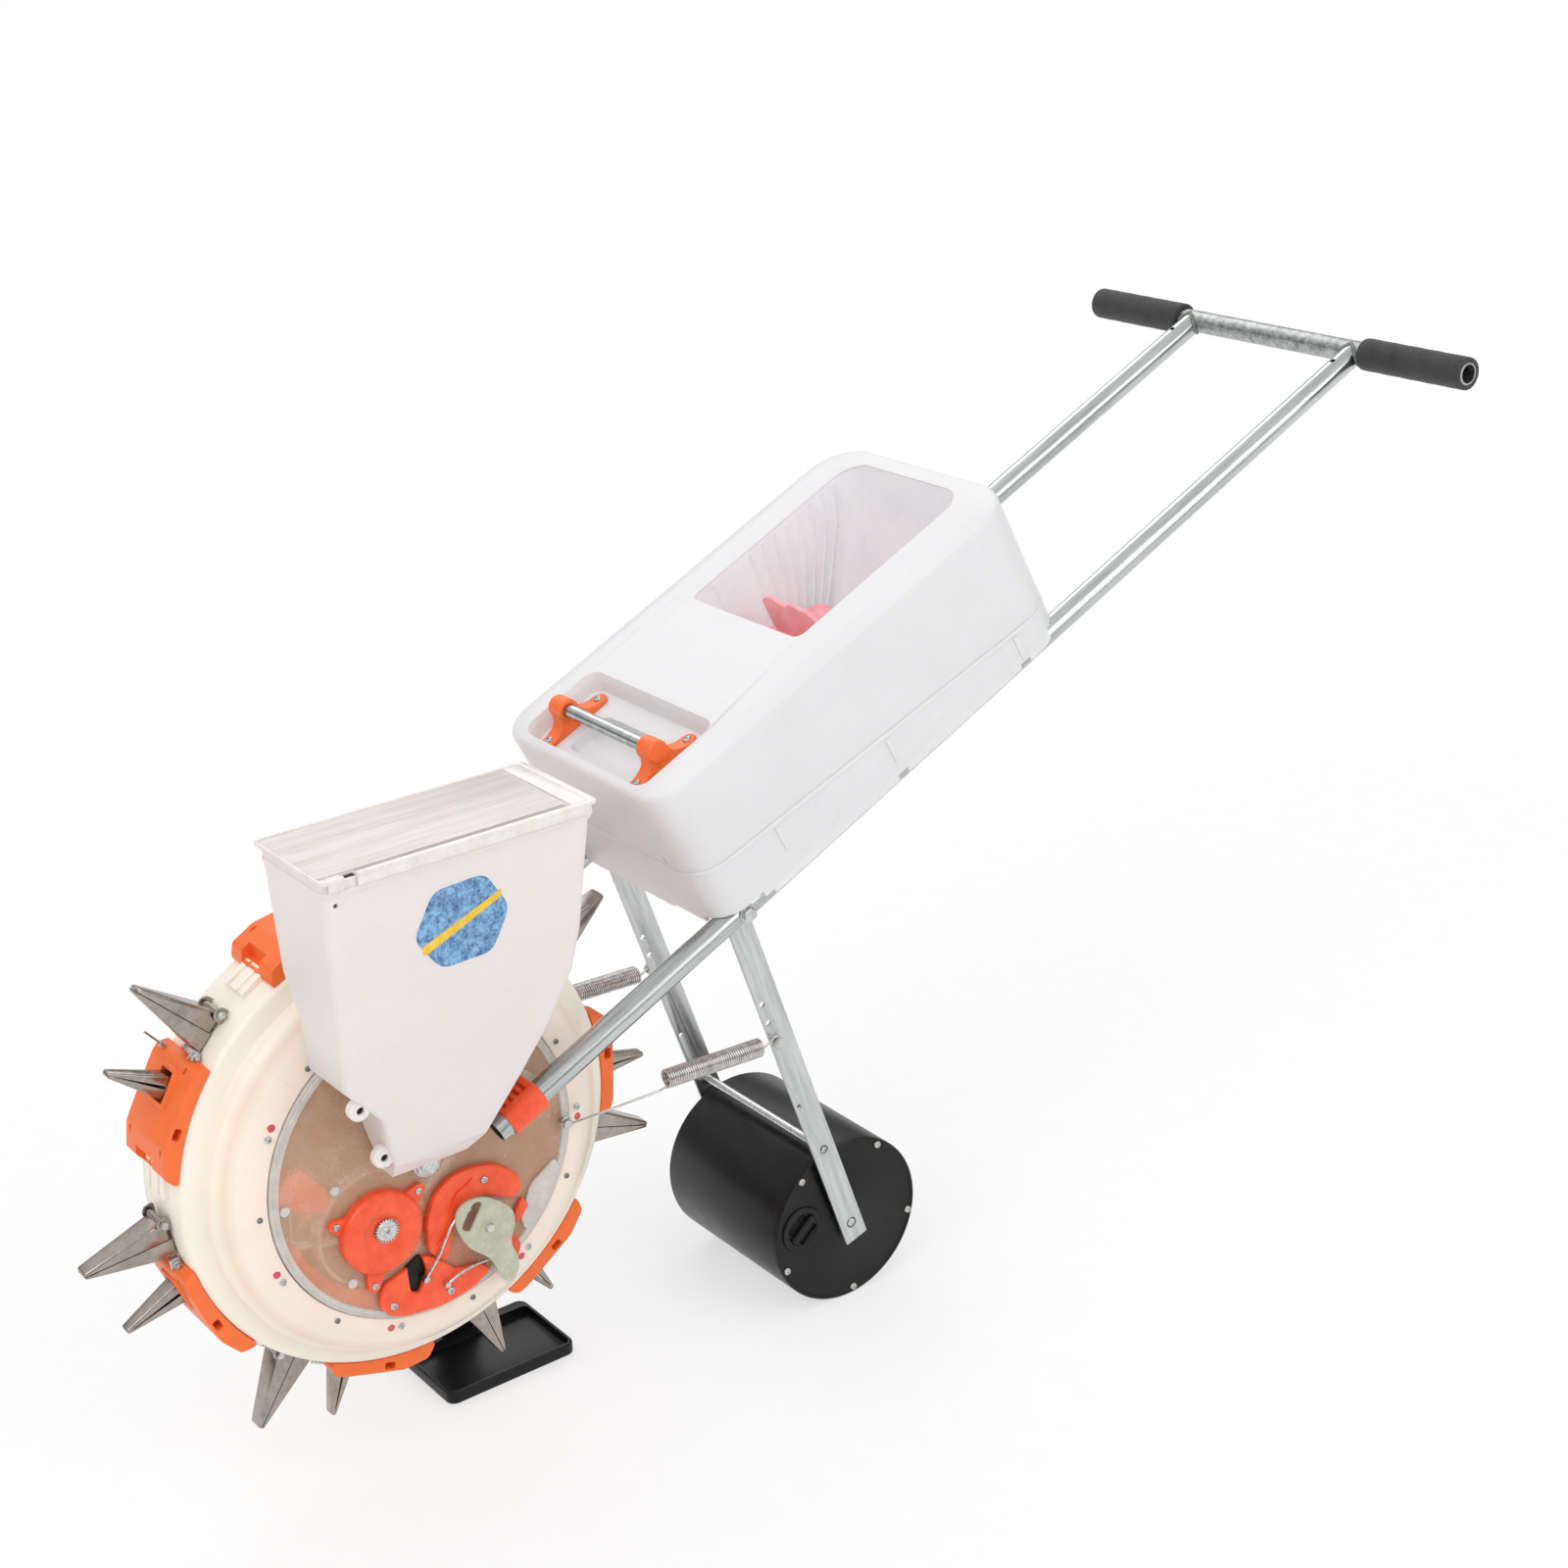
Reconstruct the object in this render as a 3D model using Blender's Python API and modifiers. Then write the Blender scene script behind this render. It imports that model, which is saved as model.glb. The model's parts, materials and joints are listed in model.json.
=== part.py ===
"""Hand seeder: a push-along wheel planter with a fertiliser box and a press roller.

Metres, +Z up. The machine rolls towards -Y, and +X is the operator's left.
The origin lies on the ground under the middle of the overall length, midway
between the two handle tubes. The values below are measured from the point
on the ground straight below the wheel axle, and add_object moves each shape
from there to the origin.
"""

import math

import bmesh
import bpy
from mathutils import Matrix, Vector

# Clearances
GAP = 0.0003          # between pieces that touch
RUNNING = 0.0005      # between pieces that turn or slide on each other

# Wheel
PAIRS = 7             # one seed bill and one fertiliser bill in each
RIM_RADIUS = 0.200
RIM_HALF_WIDTH = 0.036
SHELL_THICKNESS = 0.003
DISH_FACE = 0.074     # how far the dished flank stands out, from the middle
DISH_RADIUS = RIM_RADIUS - 0.0577   # the round mouth of the flank, which runs on the side plate
WHEEL_STEPS = 56      # a whole number for each pair
FIRST_BILL_ANGLE = 44.8   # degrees above straight ahead
SMALL_BILL_LAG = 14.8     # degrees from a seed bill to its fertiliser bill
SEED_TIP_RADIUS = RIM_RADIUS + 0.077
SEED_TIP_HALF = 0.0026    # half of a seed bill's tip, along the rim
SMALL_TIP_RADIUS = RIM_RADIUS + 0.066
AXLE_HEIGHT = SEED_TIP_RADIUS + 0.023   # parked, with the bills clear of the ground

# Side plates, axle and metering unit
PLATE_RADIUS = DISH_RADIUS - RUNNING
PLATE_INNER = 0.073
PLATE_OUTER = 0.076
AXLE_RADIUS = 0.008
LEG_NEAR = 0.0840     # the parking foot's leg, on the right end of the axle
LEG_FAR = 0.0920
METER_CENTRE = (-0.032, -0.055)   # from the axle, forward is minus
METER_RADIUS = 0.0275

# Handle frame
TUBE_RADIUS = 0.011
TUBE_WALL = 0.0012
TUBE_SPACING = 0.219
TUBE_ANGLE = 25.35    # degrees above level
TUBE_START = -0.006   # the lower end, a little past the point below
TUBE_LENGTH = 1.120
TUBE_LOW_END = (0.057, 0.3258)    # y and z
BAR_OVERHANG = 0.139   # of the cross bar, past the middle of each tube
GRIP_LENGTH = 0.125
GRIP_RADIUS = 0.0156

# Fertiliser box, measured along the tubes and square to them
BOX_START = RIM_RADIUS + 0.052    # clear of the bills
BOX_END = BOX_START + 0.440
BOX_HALF_WIDTH = TUBE_SPACING / 2 + 0.0175
BOX_FRONT_CORNER = 0.012
BOX_REAR_CORNER = 0.042
BOX_WALL = 0.003
BOX_SKIRT = 0.001
BOX_SPLIT = 0.051      # at the middle of the box's length
BOX_SPLIT_ANGLE = 4.0  # degrees that the split falls towards the rear
BOX_TOP = 0.155
MOUTH_START = BOX_START + 0.207
MOUTH_END = MOUTH_START + 0.212
MOUTH_HALF_WIDTH = 0.081

# Seed hopper
HOPPER_TOP = AXLE_HEIGHT + 0.310
HOPPER_WALL = 0.0025
HOPPER_FRONT = -0.104
HOPPER_REAR = 0.137
HOPPER_INNER = 0.058
HOPPER_OUTER = 0.166
HOPPER_STEP = 0.080    # its inner wall beside the wheel

# Press roller on its two arms
ROLLER_RADIUS = 0.0822
ROLLER_TO_ARM = 0.0062     # from the roller's end to the middle of the arm
ROLLER_AXLE_Y = 0.4243
ARM_WIDTH = 0.025
ARM_THICKNESS = 0.003
ARM_SPACER = 0.0015   # the raised ring between an arm and its tube
PIVOT_ALONG_TUBE = BOX_START + 0.028
CROSS_ROD_CLEAR = 0.0108   # from the roller's face to the middle of the cross rod
SPRING_BOLT_DOWN = 0.1491  # along the arm from its pivot
SPRING_BOLT_AHEAD = 0.0081   # of the arm's middle

# Parking foot
FOOT_NEAR = 0.001
FOOT_FAR = -0.095
FOOT_FRONT = 0.037
FOOT_REAR = 0.171
FOOT_RIM = 0.012

# Tension springs
SPRING_TURNS = 26
SPRING_RADIUS = 0.0070
SPRING_WIRE = 0.0011
SPRING_START = 0.120   # of the coil, ahead of the bolt
SPRING_END = 0.018

TUBE_X = TUBE_SPACING / 2
PIVOT_TURN = math.radians(TUBE_ANGLE)
AXLE = Matrix.Translation((0, 0, AXLE_HEIGHT))
TUBE_FRAME = Matrix.Translation((0, *TUBE_LOW_END)) @ Matrix.Rotation(PIVOT_TURN, 4, "X")
ARM_X = TUBE_X - TUBE_RADIUS - GAP - ARM_SPACER - ARM_THICKNESS / 2
ROLLER_HALF = ARM_X - ROLLER_TO_ARM
PIVOT = TUBE_FRAME @ Vector((0, PIVOT_ALONG_TUBE, 0))
ROLLER_AXLE = Vector((0, ROLLER_AXLE_Y, ROLLER_RADIUS))
ARM_DROP = ROLLER_AXLE - PIVOT
CROSS_ROD_FROM_PIVOT = ARM_DROP.length - ROLLER_RADIUS - CROSS_ROD_CLEAR
ARM_LEAN = math.atan2(ARM_DROP.y, -ARM_DROP.z)
ARM_FRAME = Matrix.Translation(PIVOT) @ Matrix.Rotation(ARM_LEAN, 4, "X")
SPRING_BOLT = ARM_FRAME @ Vector((0, -SPRING_BOLT_AHEAD, -SPRING_BOLT_DOWN))

# The overall length runs from the foremost seed bill to the back of the grips
FOREMOST = math.radians(abs(FIRST_BILL_ANGLE - 360 / PAIRS))
FRONT = -SEED_TIP_RADIUS * math.cos(FOREMOST) - SEED_TIP_HALF * math.sin(FOREMOST)
REAR = TUBE_LOW_END[0] + TUBE_LENGTH * math.cos(PIVOT_TURN) + GRIP_RADIUS
TO_ORIGIN = Matrix.Translation((0, -(FRONT + REAR) / 2, 0))

# Turns a shape drawn round local Z so that it lies round world X
ROUND_X = Matrix.Rotation(math.radians(90), 4, "Y")
# Lays a flat outline of (y, z) points in the side view, with its thickness along X
SIDE_VIEW = Matrix(((0, 0, 1, 0), (1, 0, 0, 0), (0, 1, 0, 0), (0, 0, 0, 1)))


def start_scene():
    """Empties the scene and returns the collections for the parts and for the cutters."""
    for old in list(bpy.data.objects):
        bpy.data.objects.remove(old)
    collections = []
    for name in ("hand_seeder", "cutters"):
        collection = bpy.data.collections.new(name)
        bpy.context.scene.collection.children.link(collection)
        collections.append(collection)
    return collections


PARTS, CUTTERS = start_scene()


def srgb_to_linear(value):
    return value / 12.92 if value <= 0.04045 else ((value + 0.055) / 1.055) ** 2.4


def finish(name, colour, roughness, metallic=0.0, alpha=1.0):
    """A material with an sRGB colour written as six hex digits."""
    material = bpy.data.materials.get(name)
    if material:
        return material
    material = bpy.data.materials.new(name)
    material.use_nodes = True
    shader = material.node_tree.nodes["Principled BSDF"]
    channels = [int(colour[i:i + 2], 16) / 255 for i in (0, 2, 4)]
    shader.inputs["Base Color"].default_value = (*map(srgb_to_linear, channels), 1)
    shader.inputs["Roughness"].default_value = roughness
    shader.inputs["Metallic"].default_value = metallic
    shader.inputs["Alpha"].default_value = alpha
    return material


ZINC = finish("galvanised steel tube", "B4B8B6", 0.35, 1.0)
STRIP = finish("zinc plated strip", "C4C6C4", 0.4, 1.0)
STAINLESS = finish("pressed stainless steel", "8A8078", 0.35, 1.0)
ORANGE = finish("moulded orange plastic", "F4712C", 0.45)
NYLON = finish("cast nylon", "F1E4D4", 0.5)
CLEAR = finish("clear polycarbonate", "E9DCD0", 0.15, 0.0, 0.5)
MILKY = finish("milky polyethylene", "F0EFEE", 0.45)
LID = finish("frosted lid", "D8CFC8", 0.4)
FOAM = finish("black foam", "303030", 0.9)
BLACK = finish("black plastic", "2A2A2B", 0.5)
RED = finish("red plastic", "E5405A", 0.5)
PALE = finish("pale green plastic", "C9CBB4", 0.5)


def add_object(name, mesh, frame, material, cutter=False):
    """Puts a mesh in the scene, where the frame puts it from the point below the axle."""
    obj = bpy.data.objects.new(name, mesh)
    obj.matrix_world = TO_ORIGIN @ frame
    if cutter:
        CUTTERS.objects.link(obj)
        obj.hide_render = True
        obj.display_type = "WIRE"
        return obj
    PARTS.objects.link(obj)
    if not mesh.materials:
        mesh.materials.append(material)
    return obj


def box(name, low, high, frame=Matrix(), material=None, cutter=False):
    """A box between two corners given in the frame."""
    low = Vector(low)
    high = Vector(high)
    mesh = bpy.data.meshes.new(name)
    shape = bmesh.new()
    bmesh.ops.create_cube(shape, size=1.0)
    bmesh.ops.scale(shape, vec=high - low, verts=shape.verts)
    bmesh.ops.translate(shape, vec=(high + low) / 2, verts=shape.verts)
    shape.to_mesh(mesh)
    shape.free()
    return add_object(name, mesh, frame, material, cutter)


def turned(name, profile, frame, material=None, steps=32, cutter=False):
    """A profile of (radius, height) turned round local Z with a Screw.

    It is closed, unless it starts and ends on the axis.
    """
    mesh = bpy.data.meshes.new(name)
    points = [(radius, 0, height) for radius, height in profile]
    edges = [(i, i + 1) for i in range(len(points) - 1)]
    if profile[0][0] > 0:
        edges.append((len(points) - 1, 0))
    mesh.from_pydata(points, edges, [])
    obj = add_object(name, mesh, frame, material, cutter)
    screw = obj.modifiers.new("turn", "SCREW")
    screw.axis = "Z"
    screw.steps = steps
    screw.render_steps = steps
    screw.use_merge_vertices = True
    screw.merge_threshold = 0.00001
    screw.use_smooth_shade = False
    return obj


def ring(inner, outer, low, high):
    """The profile of a plain ring or tube, down its outer side."""
    return [(inner, high), (outer, high), (outer, low), (inner, low)]


def cylinder(name, radius, low, high, frame, material=None, steps=24, cutter=False):
    """A solid cylinder round local Z."""
    mesh = bpy.data.meshes.new(name)
    shape = bmesh.new()
    bmesh.ops.create_cone(shape, cap_ends=True, segments=steps, radius1=radius,
                          radius2=radius, depth=high - low)
    bmesh.ops.translate(shape, vec=(0, 0, (low + high) / 2), verts=shape.verts)
    shape.to_mesh(mesh)
    shape.free()
    return add_object(name, mesh, frame, material, cutter)


def mesh_of_curve(curve, name):
    """A welded mesh of a curve, whose caps are loose until then."""
    holder = bpy.data.objects.new(name, curve)
    bpy.context.scene.collection.objects.link(holder)
    graph = bpy.context.evaluated_depsgraph_get()
    mesh = bpy.data.meshes.new_from_object(holder.evaluated_get(graph))
    bpy.data.objects.remove(holder)
    bpy.data.curves.remove(curve)
    mesh.name = name
    shape = bmesh.new()
    shape.from_mesh(mesh)
    bmesh.ops.remove_doubles(shape, verts=shape.verts, dist=0.000002)
    return mesh, shape


def plate(name, outline, low, high, frame, material=None, cutter=False):
    """A flat outline in local X and Y, filled and given its thickness along Z."""
    curve = bpy.data.curves.new(name, "CURVE")
    curve.dimensions = "2D"
    curve.fill_mode = "BOTH"
    curve.extrude = (high - low) / 2
    spline = curve.splines.new("POLY")
    spline.points.add(len(outline) - 1)
    for point, (x, y) in zip(spline.points, outline):
        point.co = (x, y, 0, 1)
    spline.use_cyclic_u = True
    mesh, shape = mesh_of_curve(curve, name)
    flat = math.radians(0.5)
    bmesh.ops.dissolve_limit(shape, angle_limit=flat, verts=shape.verts, edges=shape.edges)
    bmesh.ops.translate(shape, vec=(0, 0, (low + high) / 2), verts=shape.verts)
    bmesh.ops.recalc_face_normals(shape, faces=shape.faces)
    shape.to_mesh(mesh)
    shape.free()
    mesh.materials.clear()
    return add_object(name, mesh, frame, material, cutter)


def wire(name, path, radius, frame, material, resolution):
    """A round wire along a list of points, with closed ends."""
    curve = bpy.data.curves.new(name, "CURVE")
    curve.dimensions = "3D"
    curve.bevel_depth = radius
    curve.bevel_resolution = resolution
    curve.use_fill_caps = True
    spline = curve.splines.new("POLY")
    spline.points.add(len(path) - 1)
    for point, place in zip(spline.points, path):
        point.co = (*place, 1)
    mesh, shape = mesh_of_curve(curve, name)
    bmesh.ops.recalc_face_normals(shape, faces=shape.faces)
    shape.to_mesh(mesh)
    shape.free()
    mesh.materials.clear()
    return add_object(name, mesh, frame, material)


def loft(name, sections, frame, material=None, cutter=False):
    """A closed solid through four-cornered sections, whose corners go round the same way."""
    mesh = bpy.data.meshes.new(name)
    shape = bmesh.new()
    rings = [[shape.verts.new(corner) for corner in section] for section in sections]
    shape.faces.new(rings[0])
    shape.faces.new(rings[-1])
    for lower, upper in zip(rings, rings[1:]):
        for i in range(4):
            j = (i + 1) % 4
            shape.faces.new((lower[i], lower[j], upper[j], upper[i]))
    bmesh.ops.recalc_face_normals(shape, faces=shape.faces)
    shape.to_mesh(mesh)
    shape.free()
    return add_object(name, mesh, frame, material, cutter)


def section(x_range, y_range, z):
    """A level four-cornered section."""
    (x0, x1), (y0, y1) = x_range, y_range
    return [(x0, y0, z), (x1, y0, z), (x1, y1, z), (x0, y1, z)]


def combine(target, other, operation):
    """Adds a Boolean and moves the other shape to the cutters."""
    change = target.modifiers.new(other.name, "BOOLEAN")
    change.operation = operation
    change.solver = "EXACT"
    change.object = other
    if other.name not in CUTTERS.objects:
        PARTS.objects.unlink(other)
        CUTTERS.objects.link(other)
        other.hide_render = True
        other.display_type = "WIRE"
    return target


def cut(target, *others):
    for other in others:
        combine(target, other, "DIFFERENCE")
    return target


def join(target, *others):
    for other in others:
        combine(target, other, "UNION")
    return target


def round_edges(obj, width, segments, angle=35):
    """A Bevel on the edges sharper than the angle."""
    bevel = obj.modifiers.new("round", "BEVEL")
    bevel.width = width
    bevel.segments = segments
    bevel.limit_method = "ANGLE"
    bevel.angle_limit = math.radians(angle)
    return obj


def finished_mesh(obj, name):
    """The evaluated mesh of an object made only to be copied, which is then removed."""
    graph = bpy.context.evaluated_depsgraph_get()
    mesh = bpy.data.meshes.new_from_object(obj.evaluated_get(graph))
    mesh.name = name
    helpers = [m.object for m in obj.modifiers if m.type == "BOOLEAN"]
    for used in [obj, *helpers]:
        bpy.data.objects.remove(used)
    return mesh


def arc(centre, radius, start, end, count):
    """Points on an arc of a circle, angles in degrees."""
    angles = [math.radians(start + (end - start) * i / count) for i in range(count + 1)]
    return [(centre[0] + radius * math.cos(a), centre[1] + radius * math.sin(a)) for a in angles]


def rounded_rectangle(x0, x1, y0, y1, low_radius, high_radius=None, count=3):
    """The outline of a rectangle, with one radius for its corners at low y and one for the rest."""
    high = low_radius if high_radius is None else high_radius
    corners = (((x1, y1), 0, high), ((x0, y1), 90, high),
               ((x0, y0), 180, low_radius), ((x1, y0), 270, low_radius))
    outline = []
    for (x, y), start, radius in corners:
        centre = (x - radius if x == x1 else x + radius, y - radius if y == y1 else y + radius)
        outline += arc(centre, radius, start, start + 90, count)
    return outline


def at_angle(degrees):
    """A wheel frame whose local Z points out from the axle at an angle above straight ahead."""
    return AXLE @ Matrix.Rotation(math.radians(90 - degrees), 4, "X")


def make_wheel_drum():
    """The two moulded wheel halves and their rim, one dished shell open round the axle."""
    step = 0.019
    flange, shoulder = RIM_RADIUS - 0.0485, RIM_RADIUS - 0.020
    outer = [
        (DISH_RADIUS, DISH_FACE),
        (flange, DISH_FACE),
        (shoulder, DISH_FACE - step),
        (shoulder + 0.004, 0.042),
        (RIM_RADIUS - 0.001, RIM_HALF_WIDTH + 0.0015),
        (RIM_RADIUS, RIM_HALF_WIDTH),
    ]
    inner = [
        (RIM_RADIUS - SHELL_THICKNESS, RIM_HALF_WIDTH - 0.0015),
        (shoulder - 0.0028, DISH_FACE - step - 0.0025),
        (flange - 0.001, DISH_FACE - SHELL_THICKNESS),
        (DISH_RADIUS, DISH_FACE - SHELL_THICKNESS),
    ]
    profile = outer + [(r, -x) for r, x in reversed(outer)]
    profile += [(r, -x) for r, x in reversed(inner)] + inner
    drum = turned("wheel_drum", profile, AXLE @ ROUND_X, NYLON, WHEEL_STEPS)
    through = (RIM_RADIUS - 0.008, RIM_RADIUS + 0.004)
    for i in range(PAIRS):
        frame = at_angle(FIRST_BILL_ANGLE - i * 360 / PAIRS)
        low = (-PASSAGE_HALF_WIDTH, PASSAGE_START, through[0])
        high = (PASSAGE_HALF_WIDTH, PASSAGE_END, through[1])
        cut(drum, box(f"seed_hole_{i + 1}", low, high, frame, cutter=True))
        frame = at_angle(FIRST_BILL_ANGLE - SMALL_BILL_LAG - i * 360 / PAIRS)
        low = (-SMALL_PASSAGE, -SMALL_PASSAGE, through[0])
        high = (SMALL_PASSAGE, SMALL_PASSAGE, through[1])
        cut(drum, box(f"fertiliser_hole_{i + 1}", low, high, frame, cutter=True))


SEED_BASE = RIM_RADIUS + 0.0004
SEED_FOOT_THICKNESS = 0.0022
SEED_HALF = 0.019        # half of the bill's root, along the rim
SEED_HALF_WIDTH = 0.0125
SEED_TIP_WIDTH = 0.0085
BILL_SHEET = 0.0016
SEAM = 0.00025
PASSAGE_HALF_WIDTH = 0.008   # of the hole for seed through the rim and the foot plate
PASSAGE_START = -0.013
PASSAGE_END = 0.010
SMALL_PASSAGE = 0.006        # half of the square hole under each fertiliser bill


def bill_half(name, side, root, tip, frame, material=None, cutter=False):
    """Half of a seed bill, a bent sheet open towards the seam and the root."""
    def part(inset, low, high, past_seam):
        near = -past_seam if inset else SEAM
        full = [
            (SEED_HALF - inset, SEED_HALF_WIDTH - inset, low),
            (SEED_TIP_HALF - inset * 0.5, SEED_TIP_WIDTH - inset, high),
        ]
        return [section((-w, w), sorted((side * near, side * t)), z) for t, w, z in full]

    body = loft(name, part(0, root, tip, 0), frame, material, cutter)
    hollow = loft(name + "_hollow", part(BILL_SHEET, root - 0.001, tip - 0.008, 0.004), frame,
                  cutter=True)
    return cut(body, hollow)


def make_seed_bills():
    """Seven seed bills: a fixed jaw on a foot plate, and a flap hinged behind it."""
    jaw = bill_half("jaw_pattern", -1, SEED_BASE + SEED_FOOT_THICKNESS - 0.0005,
                    SEED_TIP_RADIUS, Matrix(), STAINLESS)
    foot = box("jaw_foot", (-0.015, -0.022, SEED_BASE),
               (0.015, 0.022, SEED_BASE + SEED_FOOT_THICKNESS), material=STAINLESS, cutter=True)
    passage = box("jaw_passage", (-PASSAGE_HALF_WIDTH, PASSAGE_START, SEED_BASE - 0.002),
                  (PASSAGE_HALF_WIDTH, PASSAGE_END, SEED_BASE + 0.004), cutter=True)
    join(jaw, foot)
    cut(jaw, passage)
    jaw_mesh = finished_mesh(jaw, "seed_jaw")
    hinge = Vector((0, 0.017, SEED_BASE + 0.0056))
    to_hinge = Matrix.Translation(-hinge)
    flap_root = SEED_BASE + SEED_FOOT_THICKNESS + 0.0016
    flap = bill_half("flap_pattern", 1, flap_root, SEED_TIP_RADIUS, to_hinge, STAINLESS)
    flap_mesh = finished_mesh(flap, "seed_flap")
    flap_mesh.transform(to_hinge)
    for i in range(PAIRS):
        frame = at_angle(FIRST_BILL_ANGLE - i * 360 / PAIRS)
        add_object(f"seed_jaw_{i + 1}", jaw_mesh, frame, STAINLESS)
        add_object(f"seed_flap_{i + 1}", flap_mesh, frame @ Matrix.Translation(hinge), STAINLESS)


BLOCK_INNER = RIM_RADIUS + 0.0005
BLOCK_OUTER = RIM_RADIUS + 0.0125
BLOCK_LEADING = 20.0     # degrees of the block ahead of its small bill
BLOCK_TRAILING = 7.5
BLOCK_HALF_WIDTH = 0.035
SMALL_HALF = 0.0120
SMALL_HALF_WIDTH = 0.0090
WINDOW_CLEARANCE = 0.0015   # ahead of and behind the bill, which rocks


def make_fertiliser_bills():
    """Seven orange blocks on the rim, each with a small sprung bill in its window."""
    start, end = 90 + BLOCK_LEADING, 90 - BLOCK_TRAILING
    outline = arc((0, 0), BLOCK_OUTER, end, start, 6) + arc((0, 0), BLOCK_INNER, start, end, 6)
    block = plate("block_pattern", outline, -BLOCK_HALF_WIDTH, BLOCK_HALF_WIDTH, SIDE_VIEW, ORANGE)
    open_t = SMALL_HALF + WINDOW_CLEARANCE
    open_x = SMALL_HALF_WIDTH + RUNNING
    window = box("block_window", (-open_x, -open_t, RIM_RADIUS - 0.005),
                 (open_x, open_t, BLOCK_OUTER + 0.005), cutter=True)
    slot = box("block_slot", (0.024, -0.033, RIM_RADIUS + 0.003),
               (0.040, -0.023, RIM_RADIUS + 0.0095), cutter=True)
    cut(block, window, slot)
    block_mesh = finished_mesh(block, "fertiliser_block")
    block_mesh.transform(SIDE_VIEW)
    root = RIM_RADIUS + 0.0028
    hinge = Vector((0, 0, RIM_RADIUS + 0.004))
    shape = [
        section((-SMALL_HALF_WIDTH, SMALL_HALF_WIDTH), (-SMALL_HALF, SMALL_HALF), root),
        section((-0.006, 0.006), (-0.002, 0.002), SMALL_TIP_RADIUS),
    ]
    inner_x = SMALL_HALF_WIDTH - BILL_SHEET
    hollow = [
        section((-inner_x, inner_x), (-SMALL_HALF - 0.004, SMALL_HALF - BILL_SHEET), root - 0.001),
        section((-0.0035, 0.0035), (-0.006, 0.0006), SMALL_TIP_RADIUS - 0.012),
    ]
    bill = loft("small_bill_pattern", shape, Matrix(), STAINLESS)
    cut(bill, loft("small_bill_hollow", hollow, Matrix(), cutter=True))
    bill_mesh = finished_mesh(bill, "fertiliser_bill")
    bill_mesh.transform(Matrix.Translation(-hinge))
    for i in range(PAIRS):
        frame = at_angle(FIRST_BILL_ANGLE - SMALL_BILL_LAG - i * 360 / PAIRS)
        add_object(f"fertiliser_block_{i + 1}", block_mesh, frame, ORANGE)
        add_object(f"fertiliser_bill_{i + 1}", bill_mesh, frame @ Matrix.Translation(hinge),
                   STAINLESS)


SEED_WINDOW = (-0.038, -0.016, 0.016, 0.034)   # y from, y to, z from, z to, from the axle
LEVER_PIVOT = (0.046, -0.075)
LEVER_STUD_RADIUS = 0.0035
LEVER_INNER = PLATE_OUTER + 0.013   # it stands clear of the gear cover's face
LEVER_OUTER = LEVER_INNER + 0.003
WIRE_STUD = (0.1335, -0.010)
FEED_INLET = (0.080, 0.080)      # in the right plate, for the chute from the box
FEED_RADIUS = 0.0138
FEED_WALL = 0.0024
CLAMP_START = 0.005      # along the tube
CLAMP_END = 0.042
CLAMP_RADIUS = 0.0145
CLAMP_REACH = 0.0165     # of its ribbed block, from the tube's middle to the pad
PAD_FACE = TUBE_X - CLAMP_REACH - GAP
HUB_RADIUS = 0.016
HUB_OUTER = PLATE_OUTER + 0.003


def make_side_plate(name, side):
    """A clear round plate that stands still and carries the axle, the wheel's rim and a tube."""
    profile = [
        (AXLE_RADIUS + GAP, HUB_OUTER),
        (HUB_RADIUS, HUB_OUTER),
        (HUB_RADIUS, PLATE_OUTER),
        (PLATE_RADIUS, PLATE_OUTER),
        (PLATE_RADIUS, PLATE_INNER - 0.0015),
        (PLATE_RADIUS - 0.005, PLATE_INNER),
        (AXLE_RADIUS + GAP, PLATE_INNER),
    ]
    frame = AXLE @ ROUND_X
    if side < 0:
        profile = [(r, -x) for r, x in reversed(profile)]
    obj = turned(name, profile, frame, CLEAR, 44)
    y, z = WIRE_STUD
    stud_frame = AXLE @ Matrix.Translation((0, y, z)) @ ROUND_X
    low, high = sorted((side * (PLATE_OUTER - 0.001), side * (PLATE_OUTER + 0.011)))
    stud = cylinder(name + "_stud", 0.003, low, high, stud_frame, cutter=True, steps=12)
    low, high = sorted((side * (PLATE_OUTER - 0.001), side * PAD_FACE))
    pad = plate(name + "_pad", rounded_rectangle(-0.010, 0.060, -0.036, 0.012, 0.012), low, high,
                TUBE_FRAME @ SIDE_VIEW, cutter=True)
    return join(obj, stud, pad)


def make_side_plates():
    left = make_side_plate("left_side_plate", 1)
    right = make_side_plate("right_side_plate", -1)
    inlet_frame = AXLE @ Matrix.Translation((0, *FEED_INLET)) @ ROUND_X
    cut(right, cylinder("feed_inlet", FEED_RADIUS - FEED_WALL, -PLATE_OUTER - 0.02,
                        -PLATE_INNER + 0.02, inlet_frame, cutter=True, steps=16))
    y, z = LEVER_PIVOT
    pivot_frame = AXLE @ Matrix.Translation((0, y, z)) @ ROUND_X
    join(left, cylinder("lever_stud", LEVER_STUD_RADIUS, PLATE_OUTER - 0.001,
                        LEVER_OUTER + 0.003, pivot_frame, cutter=True, steps=12),
         cylinder("lever_shoulder", LEVER_STUD_RADIUS + 0.003, PLATE_OUTER - 0.001,
                  LEVER_INNER - GAP, pivot_frame, cutter=True, steps=12))
    y0, y1, z0, z1 = SEED_WINDOW
    cut(left, box("seed_window", (PLATE_INNER - 0.02, y0, z0), (PLATE_OUTER + 0.02, y1, z1),
                  AXLE, cutter=True))
    spindle_frame = AXLE @ Matrix.Translation((0, *METER_CENTRE)) @ ROUND_X
    cut(left, cylinder("spindle_hole", 0.0065, PLATE_INNER - 0.02, PLATE_OUTER + 0.02,
                       spindle_frame, cutter=True, steps=20))


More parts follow.
